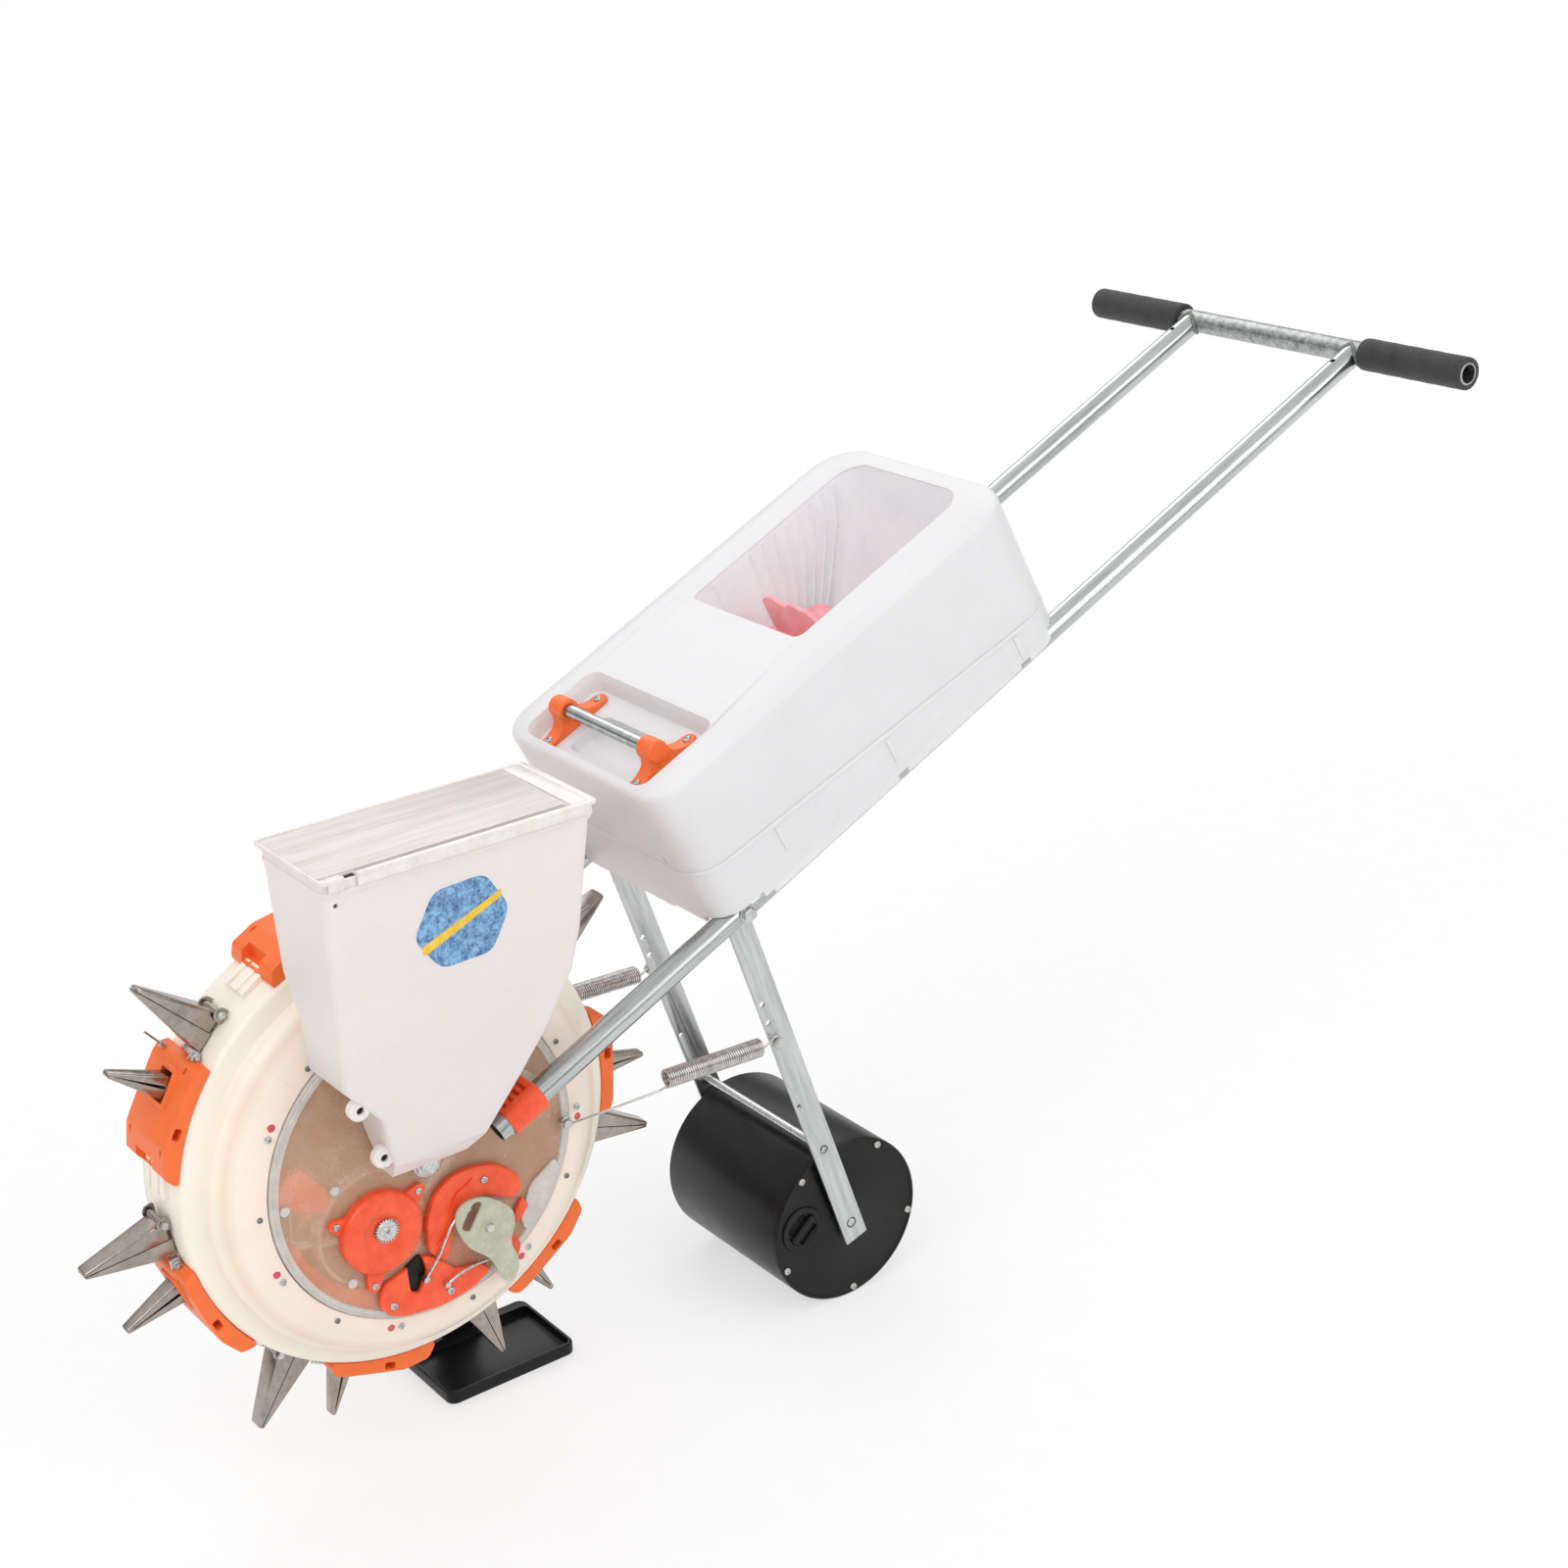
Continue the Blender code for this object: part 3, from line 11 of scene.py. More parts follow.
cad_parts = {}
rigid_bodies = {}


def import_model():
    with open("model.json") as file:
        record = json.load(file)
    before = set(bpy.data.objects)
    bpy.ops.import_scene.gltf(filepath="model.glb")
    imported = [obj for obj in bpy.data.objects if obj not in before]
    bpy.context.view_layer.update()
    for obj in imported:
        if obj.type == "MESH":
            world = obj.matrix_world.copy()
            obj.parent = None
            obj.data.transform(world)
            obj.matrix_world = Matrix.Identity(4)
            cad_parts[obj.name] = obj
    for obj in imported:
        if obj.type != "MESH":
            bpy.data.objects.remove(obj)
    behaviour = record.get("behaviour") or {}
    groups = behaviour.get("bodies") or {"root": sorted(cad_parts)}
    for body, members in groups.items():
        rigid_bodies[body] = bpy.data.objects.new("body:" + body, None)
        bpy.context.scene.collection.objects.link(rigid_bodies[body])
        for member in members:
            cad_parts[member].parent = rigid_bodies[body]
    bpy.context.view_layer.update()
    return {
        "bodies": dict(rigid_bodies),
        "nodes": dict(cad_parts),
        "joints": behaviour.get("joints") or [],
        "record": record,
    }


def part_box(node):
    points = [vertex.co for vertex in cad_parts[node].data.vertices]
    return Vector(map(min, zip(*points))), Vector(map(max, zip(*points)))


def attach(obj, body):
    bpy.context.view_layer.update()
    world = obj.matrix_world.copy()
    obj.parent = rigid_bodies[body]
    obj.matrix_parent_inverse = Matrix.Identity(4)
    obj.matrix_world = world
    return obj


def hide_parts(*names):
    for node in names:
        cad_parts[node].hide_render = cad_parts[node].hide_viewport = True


bl_info = {
    "name": "Hand seeder",
    "version": (1, 0, 0),
    "blender": (4, 5, 0),
    "location": "3D View > Sidebar > Seeder",
    "description": "Models a push-along hand seeder piece by piece round its CAD frame",
    "category": "Add Mesh",
}

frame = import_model()

# Millimetres in the code, metres in the scene
MM = 0.001
PAIRS = 7


def middle(node):
    low, high = (Vector(corner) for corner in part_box(node))
    return (low + high) / 2


def turn_x(degrees):
    return Matrix.Rotation(math.radians(degrees), 4, "X")


def turn_y(degrees):
    return Matrix.Rotation(math.radians(degrees), 4, "Y")


def turn_z(degrees):
    return Matrix.Rotation(math.radians(degrees), 4, "Z")


def move(x, y, z):
    return Matrix.Translation(Vector((x, y, z)) * MM)


# Frames: the wheel's axle, the handle tubes, the roller's axle and the arms' pivot
# TUBE_FOOT is the tubes' lower end as (y, z) from the axle
TUBE_FOOT = (57, 25.8)
PIVOT_ALONG = 280
AXLE = Matrix.Translation((0, middle("axle").y, middle("axle").z))
TUBE_ANGLE = 25.35
TUBES = AXLE @ move(0, *TUBE_FOOT) @ turn_x(TUBE_ANGLE)
ROLLER = Matrix.Translation((0, middle("roller_axle").y, middle("roller_axle").z))
PIVOT = Matrix.Translation((TUBES @ move(0, PIVOT_ALONG, 0)).translation)
ARM_DROP = (ROLLER.translation - PIVOT.translation) / MM
ARM_LEAN = math.degrees(math.atan2(ARM_DROP.y, -ARM_DROP.z))
ARMS = PIVOT @ turn_x(ARM_LEAN)
# Turns a shape drawn round local Z so that it lies round world X
ROUND_X = turn_y(90)
# Lays a flat outline of (y, z) points in the side view, with its thickness along X
SIDE = Matrix(((0, 0, 1, 0), (1, 0, 0, 0), (0, 1, 0, 0), (0, 0, 0, 1)))
TUBE_X = 109.5
MIRROR = Matrix.Scale(-1, 4, (1, 0, 0))
SIDES = (("left", Matrix()), ("right", MIRROR))
FIRST_BILL = 44.8
SMALL_BILL_LAG = 14.8


def spoke(pair, lag=0.0):
    """A wheel frame whose local Z points out from the axle, at one of the seven pairs."""
    return AXLE @ turn_x(90 - FIRST_BILL + lag + pair * 360 / PAIRS)


def spokes(lag=0.0):
    return [spoke(pair, lag) for pair in range(PAIRS)]


def facing(x, y, z, frame=AXLE):
    """A place whose local Z points out to the seeder's left."""
    return frame @ move(x, y, z) @ ROUND_X


def linear(colour):
    """Six hex digits of an sRGB colour as linear values."""
    channels = [int(colour[i:i + 2], 16) / 255 for i in (0, 2, 4)]
    return (*[c / 12.92 if c <= 0.04045 else ((c + 0.055) / 1.055) ** 2.4 for c in channels], 1.0)


def measure(name, description, default):
    return FloatProperty(name=name, description=description, default=default, unit="LENGTH")


def swatch(name, description, default):
    return FloatVectorProperty(name=name, description=description, default=linear(default),
                               subtype="COLOR", size=4, min=0, max=1)


class SeederSizes(bpy.types.PropertyGroup):
    """Sizes that a user would change."""
    rim_radius: measure("Rim radius", "Radius of the wheel over its rim", 0.201)
    bill_reach: measure("Bill reach", "Height of a seed bill over the rim", 0.0765)
    tube_radius: measure("Tube radius", "Radius of the handle tubes", 0.011)
    grip_length: measure("Grip length", "Length of a foam grip", 0.125)
    coils: IntProperty(name="Spring coils", description="Coils of each tension spring",
                       default=44, min=26, max=60)
    lamp_power: FloatProperty(name="Lamp power", description="Power of the main soft lamp",
                              default=35.0, unit="POWER")


class SeederColours(bpy.types.PropertyGroup):
    """Colours that a user would change."""
    orange: swatch("Orange plastic", "Blocks, clamps and saddles", "FB7430")
    drum: swatch("Wheel drum", "Cream nylon of the wheel", "FCF0DF")
    milky: swatch("Milky plastic", "Fertiliser box", "F5F4F6")


def sizes():
    return bpy.context.scene.seeder_sizes


def colours():
    return bpy.context.scene.seeder_colours


# Edit-mode tools, all in millimetres

def only(obj):
    """Leaves edit mode and selects this object alone, or nothing."""
    if bpy.context.mode != "OBJECT":
        bpy.ops.object.mode_set(mode="OBJECT")
    bpy.ops.object.select_all(action="DESELECT")
    if obj:
        obj.select_set(True)
        bpy.context.view_layer.objects.active = obj


def edit(obj, kind="VERT"):
    only(obj)
    bpy.ops.object.mode_set(mode="EDIT")
    bpy.ops.mesh.select_mode(type=kind)


def pick(obj, kind, test):
    """Selects the edges or faces that pass a test on their middle in mm, and edge or normal."""
    edit(obj, kind)
    bpy.ops.mesh.select_all(action="DESELECT")
    shape = bmesh.from_edit_mesh(obj.data)
    shape.normal_update()
    if kind == "EDGE":
        for e in shape.edges:
            e.select_set(test((e.verts[0].co + e.verts[1].co) / 2 / MM, e))
    else:
        for f in shape.faces:
            f.select_set(test(f.calc_center_median() / MM, f.normal))
    shape.select_flush_mode()
    bmesh.update_edit_mesh(obj.data)


def drawn(name, points, upright=False, closed=True, fill=True):
    """Draws an outline in edit mode: one point is extruded from place to place."""
    places = [Vector((a, 0, b) if upright else (a, b, 0)) * MM for a, b in points]
    only(None)
    bpy.ops.mesh.primitive_plane_add(size=MM)
    obj = bpy.context.object
    obj.name = name
    bpy.ops.object.mode_set(mode="EDIT")
    bpy.ops.mesh.merge(type="CENTER")
    bpy.ops.transform.translate(value=places[0])
    for last, place in zip(places, places[1:]):
        bpy.ops.mesh.extrude_region_move(TRANSFORM_OT_translate={"value": place - last})
    if closed and not fill:
        shape = bmesh.from_edit_mesh(obj.data)
        shape.verts.ensure_lookup_table()
        for v in shape.verts:
            v.select_set(len(v.link_edges) == 1)
        shape.select_flush_mode()
        bmesh.update_edit_mesh(obj.data)
        bpy.ops.mesh.edge_face_add()
    bpy.ops.mesh.select_all(action="SELECT")
    if fill:
        bpy.ops.mesh.edge_face_add()
    return obj


def softened(points, radius, count=4):
    """An outline with its corners rounded off."""
    outline = []
    for i, here in enumerate(points):
        corner = Vector(here)
        back = Vector(points[i - 1]) - corner
        on = Vector(points[(i + 1) % len(points)]) - corner
        start = corner + back.normalized() * min(radius, back.length * 0.45)
        end = corner + on.normalized() * min(radius, on.length * 0.45)
        for j in range(count + 1):
            t = j / count
            outline.append(tuple(start * (1 - t) ** 2 + corner * 2 * t * (1 - t) + end * t ** 2))
    return outline


def tidy(obj):
    """Merges doubled points and turns the faces outwards."""
    edit(obj)
    bpy.ops.mesh.select_all(action="SELECT")
    bpy.ops.mesh.remove_doubles(threshold=0.00001)
    bpy.ops.mesh.normals_make_consistent(inside=False)
    only(obj)
    return obj


def plate(name, points, low, high):
    """A flat outline with its thickness along local Z."""
    obj = drawn(name, points)
    bpy.ops.transform.translate(value=(0, 0, low * MM))
    bpy.ops.mesh.extrude_region_move(TRANSFORM_OT_translate={"value": (0, 0, (high - low) * MM)})
    return tidy(obj)


def turned(name, profile, steps=64):
    """A profile of (radius, height) spun round local Z; it is open only where it meets the axis."""
    on_axis = profile[0][0] == 0
    obj = drawn(name, profile, upright=True, closed=not on_axis, fill=False)
    bpy.ops.mesh.spin(steps=steps, angle=math.tau, center=(0, 0, 0), axis=(0, 0, 1))
    return tidy(obj)


def block(name, low, high):
    """A box between two corners."""
    low, high = Vector(low), Vector(high)
    only(None)
    bpy.ops.mesh.primitive_cube_add(size=1)
    obj = bpy.context.object
    obj.name = name
    bpy.ops.object.mode_set(mode="EDIT")
    bpy.ops.transform.resize(value=(high - low) * MM)
    bpy.ops.transform.translate(value=(high + low) / 2 * MM)
    only(obj)
    return obj


def tapered(name, low, high, top):
    """A box whose top face is drawn in to top = (x0, x1, y0, y1)."""
    obj = block(name, low, high)
    low, high = Vector(low), Vector(high)
    x0, x1, y0, y1 = top
    centre = Vector(((low.x + high.x) / 2, (low.y + high.y) / 2, high.z))
    pick(obj, "FACE", lambda place, normal: normal.z > 0.9)
    bpy.ops.transform.resize(value=((x1 - x0) / (high.x - low.x), (y1 - y0) / (high.y - low.y), 1),
                             center_override=centre * MM)
    shift = Vector(((x0 + x1) / 2 - centre.x, (y0 + y1) / 2 - centre.y, 0))
    bpy.ops.transform.translate(value=shift * MM)
    only(obj)
    return obj


def tapering(name, levels, radius, high_radius=None, count=6):
    """A rounded outline carried from level to level, each (z, x0, x1, y0, y1)."""
    z, x0, x1, y0, y1 = levels[0]
    obj = drawn(name, rounded_rectangle(x0, x1, y0, y1, radius, high_radius, count))
    bpy.ops.transform.translate(value=(0, 0, z * MM))
    for last, this in zip(levels, levels[1:]):
        old = Vector(((last[1] + last[2]) / 2, (last[3] + last[4]) / 2, last[0]))
        new = Vector(((this[1] + this[2]) / 2, (this[3] + this[4]) / 2, this[0]))
        scale = [(this[i + 1] - this[i]) / (last[i + 1] - last[i]) for i in (1, 3)]
        bpy.ops.mesh.extrude_region_move(TRANSFORM_OT_translate={"value": (new - old) * MM})
        bpy.ops.transform.resize(value=(*scale, 1), center_override=new * MM)
    return tidy(obj)


def rod(name, radius, low, high, edge=0.4, steps=24):
    """A round rod along local Z with broken edges."""
    return turned(name, [(0, high), (radius - edge, high), (radius, high - edge),
                         (radius, low + edge), (radius - edge, low), (0, low)], steps)


def bore(radius, low, high, place, steps=24):
    """A plain rod along the place's local Z, to cut a round hole with."""
    return placed(rod("bore", radius, low, high, 0, steps), place)


def nut(name, across, low, high):
    """A nut or bolt head with a domed face."""
    radius = across / math.sqrt(3)
    return turned(name, [(0, high), (radius * 0.8, high), (radius, high - 0.8), (radius, low),
                         (0, low)], 6)


def linked(name, data):
    """A new object for the data, in the scene."""
    obj = bpy.data.objects.new(name, data)
    bpy.context.collection.objects.link(obj)
    return obj


def swept(name, points, radius, resolution, smooth=False):
    """A round wire or tube along points given in mm."""
    curve = bpy.data.curves.new(name, "CURVE")
    curve.dimensions = "3D"
    curve.bevel_depth = radius * MM
    curve.bevel_resolution = resolution
    curve.use_fill_caps = True
    curve.resolution_u = 6
    spline = curve.splines.new("NURBS" if smooth else "POLY")
    spline.points.add(len(points) - 1)
    for point, place in zip(spline.points, points):
        point.co = (*(Vector(place) * MM), 1)
    if smooth:
        spline.order_u = 3
        spline.use_endpoint_u = True
    only(linked(name, curve))
    bpy.ops.object.convert(target="MESH")
    return tidy(bpy.context.object)


def modified(obj, kind, **settings):
    """Adds a modifier with its settings and applies it."""
    change = obj.modifiers.new(kind.lower(), kind)
    for key, value in settings.items():
        setattr(change, key, value)
    only(obj)
    bpy.ops.object.modifier_apply(modifier=change.name)
    return obj


def rounded(obj, width, segments=2, angle=35):
    """Rounds every edge sharper than the angle."""
    return modified(obj, "BEVEL", width=width * MM, segments=segments, limit_method="ANGLE",
                    angle_limit=math.radians(angle), harden_normals=False)


def cut(obj, *cutters, operation="DIFFERENCE", solver="EXACT"):
    """Cuts shapes out of a piece, or adds them to it, and removes them."""
    for cutter in cutters:
        modified(obj, "BOOLEAN", object=cutter, operation=operation, solver=solver)
        bpy.data.objects.remove(cutter)
    return obj


def carve(obj, *cutters, operation="DIFFERENCE"):
    """The same for big closed shells, where faces may lie in one plane."""
    return cut(obj, *cutters, operation=operation, solver="MANIFOLD")


def placed(obj, place):
    """Puts a shape in its frame and applies that."""
    only(obj)
    obj.matrix_world = place
    bpy.ops.object.transform_apply(location=True, rotation=True, scale=True)
    if place.determinant() < 0:
        tidy(obj)
    return obj


def joined(obj, *others):
    """Makes several shapes one object."""
    only(obj)
    for other in others:
        other.select_set(True)
    bpy.ops.object.join()
    return obj


def copied(obj, name, place=Matrix()):
    """A copy with its own mesh, in another place."""
    twin = obj.copy()
    twin.data = obj.data.copy()
    twin.name = name
    bpy.context.collection.objects.link(twin)
    return placed(twin, place)


def copies(pattern, places):
    """The pattern at every place as one object; the pattern itself goes."""
    made = [copied(pattern, pattern.name, place) for place in places]
    bpy.data.objects.remove(pattern)
    return joined(*made)


def painted(obj, finish_name, angle=32):
    """Gives a shape its finish and smooth shading."""
    obj.data.materials.clear()
    obj.data.materials.append(FINISHES[finish_name])
    only(obj)
    bpy.ops.object.shade_smooth_by_angle(angle=math.radians(angle))
    return obj


def ready(obj, name, body, slot, finish_name, *nodes, angle=32):
    """Finishes a piece, and says what it rides on and which CAD nodes it stands for."""
    painted(obj, finish_name, angle)
    obj.name = name
    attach(obj, body)
    if nodes:
        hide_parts(*nodes)
    return obj


def trimmed(obj, finish_name, test):
    """Gives the faces that pass the test a finish of their own."""
    obj.data.materials.append(FINISHES[finish_name])
    pick(obj, "FACE", test)
    obj.active_material_index = len(obj.data.materials) - 1
    bpy.ops.object.material_slot_assign()
    only(obj)


def screws(name, body, radius, places, finish_name="screw"):
    """Pan-head screws with a cross recess, each standing on its place."""
    high = radius * 0.62
    head = turned("head", [(0, high), (radius * 0.5, high * 0.94), (radius * 0.85, high * 0.66),
                           (radius, high * 0.2), (radius, -0.4), (0, -0.4)], 20)
    long, wide = radius * 0.62, radius * 0.13
    cut(head, block("slot", (-long, -wide, high * 0.3), (long, wide, high * 2)),
        block("slot", (-wide, -long, high * 0.3), (wide, long, high * 2)))
    return ready(copies(head, places), name, body, "zinc_strip", finish_name)


def arc(centre, radius, start, end, count):
    """Points on an arc of a circle, angles in degrees."""
    angles = [math.radians(start + (end - start) * i / count) for i in range(count + 1)]
    return [(centre[0] + radius * math.cos(a), centre[1] + radius * math.sin(a)) for a in angles]


def rounded_rectangle(x0, x1, y0, y1, low_radius, high_radius=None, count=6):
    """A rectangle's outline, with one radius for its corners at low y and one for the rest."""
    high = low_radius if high_radius is None else high_radius
    corners = (((x1, y1), 0, high), ((x0, y1), 90, high),
               ((x0, y0), 180, low_radius), ((x1, y0), 270, low_radius))
    outline = []
    for (x, y), start, radius in corners:
        centre = (x - radius if x == x1 else x + radius, y - radius if y == y1 else y + radius)
        outline += arc(centre, radius, start, start + 90, count)
    return outline


# Materials

def add(tree, kind, inputs=None, stops=(), **settings):
    """Adds a node with its settings and colour stops, and fills or links its inputs.

    A node given for an input stands for its first output.
    """
    made = tree.nodes.new("ShaderNode" + kind)
    for number, (place, colour) in enumerate(stops):
        elements = made.color_ramp.elements
        stop = elements[number] if number < 2 else elements.new(place)
        stop.position, stop.color = place, colour
    for key, value in settings.items():
        setattr(made, key, value)
    for socket, value in (inputs or {}).items():
        if isinstance(value, bpy.types.Node):
            value = value.outputs[0]
        if isinstance(value, bpy.types.NodeSocket):
            tree.links.new(value, made.inputs[socket])
        else:
            made.inputs[socket].default_value = value
    return made


def blank(name):
    """A material, its node tree and the place on the object that every pattern starts from."""
    material = bpy.data.materials.new(name)
    material.use_nodes = True
    tree = material.node_tree
    tree.nodes.clear()
    return material, tree, add(tree, "TexCoord").outputs["Object"]


def finish(name, dark, light, grain, roughness, bump=0.0, turn=0.0, along=1.0, fine=1.5,
           **shader):
    """A material with clouding of one size, a finer grain, and both in its gloss and relief.

    grain and fine are in mm, and bump is the relief's height in mm. The pattern is drawn out
    by the factor along, in a direction that leans up from the seeder's Y by turn in degrees.
    A colour is given as hex digits or as linear values.
    """
    material, tree, place = blank(name)
    dark, light = (linear(c) if isinstance(c, str) else c for c in (dark, light))
    turned_place = add(tree, "Mapping", {"Vector": place, "Scale": (1, along, 1),
                                         "Rotation": (math.radians(turn), 0, 0)},
                       vector_type="TEXTURE")
    cloud = add(tree, "TexNoise", {"Vector": turned_place, "Scale": 1000 / grain, "Detail": 4.0,
                                   "Roughness": 0.6})
    small = add(tree, "TexNoise", {"Vector": turned_place, "Scale": 1000 / fine, "Detail": 2.0})
    both = add(tree, "Mix", {"Factor": 0.35, "A": cloud, "B": small})
    colour = add(tree, "ValToRGB", {"Fac": both}, stops=((0.34, dark), (0.62, light)))
    gloss = add(tree, "MapRange", {"Value": both, "From Min": 0.3, "From Max": 0.7,
                                   "To Min": roughness[0], "To Max": roughness[1]})
    principled = add(tree, "BsdfPrincipled",
                     {"Base Color": colour, "Roughness": gloss, **shader})
    if bump:
        relief = add(tree, "Bump", {"Height": small, "Strength": 0.6, "Distance": bump * MM})
        tree.links.new(relief.outputs["Normal"], principled.inputs["Normal"])
    add(tree, "OutputMaterial", {"Surface": principled})
    return material


FINISHES = {}


def waxy(weight, *radius):
    """The glow of light that spreads inside a plastic, with its reach in each colour."""
    return {"Subsurface Weight": weight, "Subsurface Radius": radius}


def darker(colour, share):
    return (*[c * share for c in colour[:3]], 1.0)


def make_finishes():
    """Every material, by the short name that the pieces use."""
    orange, drum, milky = colours().orange, colours().drum, colours().milky
    FINISHES.update({
        # Galvanised tube: a dull zinc skin with a soft mottle, and long streaks along the tube that
        # are partly drawing marks and partly painted bands of reflected light
        "tube": finish("galvanised steel, drawn tube", "A0A4A4", "C9CCCB", 9, (0.16, 0.28),
                       0.012, TUBE_ANGLE, 22, 1.4, Metallic=1.0),
        # The same skin on the cross bar, where the zinc shows its spangle
        "bar": finish("galvanised steel, spangled", "7F8382", "C9CBCA", 7, (0.28, 0.5), 0.05,
                      fine=2.0, Metallic=1.0),
        # Zinc plated strip: bright and even, faint rolling marks along its length
        "strip": finish("zinc plated steel strip, rolled", "B2B5B4", "D4D6D5", 7, (0.28, 0.44),
                        0.012, ARM_LEAN - 90, 14, 1.6, Metallic=0.92),
        # Bright zinc screws, nuts and wire
        "screw": finish("zinc plated screw, turned", "A9ABAB", "E0E1E0", 3, (0.2, 0.38), 0.02,
                        fine=0.8, Metallic=1.0),
        # Stainless sheet, pressed and handled: brownish grey with smears that dull the shine
        "stainless": finish("stainless steel sheet, pressed", "90867E", "B0A79F", 34,
                            (0.16, 0.3), fine=6.0, Metallic=1.0),
        # Moulded orange nylon: even colour, slightly waxy, fine spark texture
        "orange": finish("orange nylon, moulded", darker(orange, 0.9), orange, 18, (0.36, 0.5),
                         0.03, fine=1.2, **waxy(0.12, 0.004, 0.0015, 0.0006)),
        # The same nylon of another batch, redder, in the metering unit and the clamps
        "ember": finish("red-orange nylon, moulded", "EA4722", "FF6437", 16, (0.3, 0.44), 0.02,
                        fine=1.2, **waxy(0.1, 0.004, 0.001, 0.0005)),
        # Red nylon behind the clear plate, deeper and pinker
        "crimson": finish("crimson nylon, moulded", "DC3A24", "F6583E", 20, (0.3, 0.46), 0.02,
                          fine=1.2),
        # An ochre patch behind the seed window: painted shade
        "amber": finish("painted shade behind the seed window, ochre", "B5651C", "D98A3C", 9, (0.4, 0.6), 0.04,
                        fine=1.2),
        # Clear polycarbonate: glossy, its colour painted warm for the shade and glow of the drum's
        # inside seen through it
        "clear": finish("clear polycarbonate, moulded", "EDB48A", "F7D3B6", 30, (0.05, 0.12),
                        fine=3.0, Alpha=0.36, **{"Coat Weight": 0.3}),
        # The same plastic where it is thicker, frosted, and painted paler for the light that its
        # edges gather
        "frost": finish("clear polycarbonate, frosted, painted edge light", "DCD8D2", "F4F1EC", 12,
                        (0.14, 0.28), fine=2.0, Alpha=0.62, **{"Coat Weight": 0.3}),
        # The far plate: nearly solid, painted in the warm shade and glow of the drum's lit inside
        "tea": finish("polycarbonate, painted glow of the drum's inside", "E9BE98", "F6D6BA", 60, (0.2, 0.36),
                      fine=9.0, Alpha=0.95),
        # Blow-moulded polyethylene: soft white and waxy, and a little light comes through
        "milky": finish("milky polyethylene, blow-moulded", darker(milky, 0.96), milky, 70,
                        (0.32, 0.46), 0.04, fine=3.5, Alpha=0.8,
                        **waxy(0.25, 0.01, 0.01, 0.011)),
        # The hopper's thinner wall, painted warmer for the orange light of the wheel behind it
        "hopper": finish("milky polyethylene, injection-moulded", "F4ECE9", "F8F2F0", 110,
                         (0.3, 0.42), 0.03, fine=3.0, Alpha=0.86,
                         **waxy(0.25, 0.01, 0.008, 0.007)),
        # The basin under the mouth: the same plastic, painted whiter to lift the shade that it lies
        # in
        "basin": finish("milky polyethylene, ribbed", "F4F3F7", "FBFAFC", 40, (0.3, 0.44), 0.02,
                        fine=6.0, Alpha=0.9),
        # The lid's light rim
        "lid_rim": finish("milky acrylic, moulded", "E3DCD8", "F4F0ED", 24, (0.24, 0.36), 0.02,
                          fine=2.0, Alpha=0.95),
        # A grey sheet in the channel beside the lid's panel: painted shade
        "shade": finish("painted shade, grey", "8E8580", "A79E98", 12, (0.3, 0.4), fine=2.0),
        # A printed film label, mottled blue, and its yellow band
        "label": finish("printed film, blue", "173F7D", "8DBFE6", 7, (0.22, 0.32), fine=2.2),
        "yellow": finish("printed film, yellow", "E3B223", "F5D24A", 11, (0.22, 0.32),
                         fine=2.6),
        # Oiled spring wire: bright steel with uneven gloss
        "spring": finish("spring steel wire, oiled", "B5B0AC", "DAD7D4", 24, (0.18, 0.3),
                         fine=6.0, Metallic=1.0),
        # Black moulded plastic: near black with a broad soft sheen
        "black": finish("black polypropylene, moulded", "0C0C0D", "161617", 25, (0.28, 0.4),
                        0.02, fine=1.4, **{"Specular IOR Level": 0.26}),
        # Dabs of red enamel on the wheel's flange
        "red": finish("red enamel, dabbed on", "C4414C", "DF6068", 4, (0.3, 0.5), 0.03,
                      fine=1.0),
        # Pink-red moulded paddle
        "rose": finish("pink-red polypropylene, moulded", "F58E93", "FCB4B6", 14, (0.38, 0.5),
                       0.03, fine=1.2),
        # Pale green-grey lever plate
        "pale": finish("pale green acetal, moulded", "BFC3A8", "D6D9C3", 12, (0.2, 0.32), 0.02,
                       fine=1.2, Alpha=0.74),
        # Weld bead: rough burnt steel under thin zinc
        "weld": finish("steel weld, brushed", "6E6A66", "A8A7A4", 4, (0.4, 0.65), 0.25,
                       fine=1.1, Metallic=0.8),
        "drum": make_drum_finish(darker(drum, 0.9), drum),
        "foam": make_foam(),
        "lid": make_lid_finish(),
        "floor": make_floor_finish(),
    })


def make_drum_finish(dark, light):
    """Cast cream nylon: cloudy and blushing pink on the thin flank, with painted shade that darkens
    the groove.
    """
    material, tree, place = blank("cream nylon, cast")
    centre = -AXLE.translation
    across = add(tree, "VectorMath", {0: place, 1: (0, 1, 1), 2: (0, centre.y, centre.z)},
                 operation="MULTIPLY_ADD")
    radius = add(tree, "VectorMath", {0: across}, operation="LENGTH")
    cloud = add(tree, "TexNoise", {"Vector": place, "Scale": 1000 / 60, "Detail": 3.0})
    # The ring runs from the clear plate at 141 mm to the rim at 201 mm
    share = add(tree, "MapRange", {"Value": radius.outputs["Value"], "From Min": 0.141,
                                   "From Max": 0.201})
    # The stop at 0.56 darkens the band of the groove: painted shade
    ring = add(tree, "ValToRGB", {"Fac": share},
               stops=((0.0, linear("F6E0D4")), (1.0, linear("FDF4E8")), (0.42, linear("FAEBE2")),
                      (0.56, linear("EDD6C0")), (0.66, linear("FBF0E2"))))
    blush = add(tree, "ValToRGB", {"Fac": cloud}, stops=((0.36, dark), (0.6, light)))
    colour = add(tree, "Mix", {0: 0.4, 6: ring, 7: blush}, data_type="RGBA")
    gloss = add(tree, "MapRange", {"Value": cloud, "From Min": 0.3, "From Max": 0.7,
                                   "To Min": 0.3, "To Max": 0.44})
    principled = add(tree, "BsdfPrincipled",
                     {"Base Color": colour.outputs[2], "Roughness": gloss,
                      **waxy(0.35, 0.012, 0.007, 0.005)})
    add(tree, "OutputMaterial", {"Surface": principled})
    return material


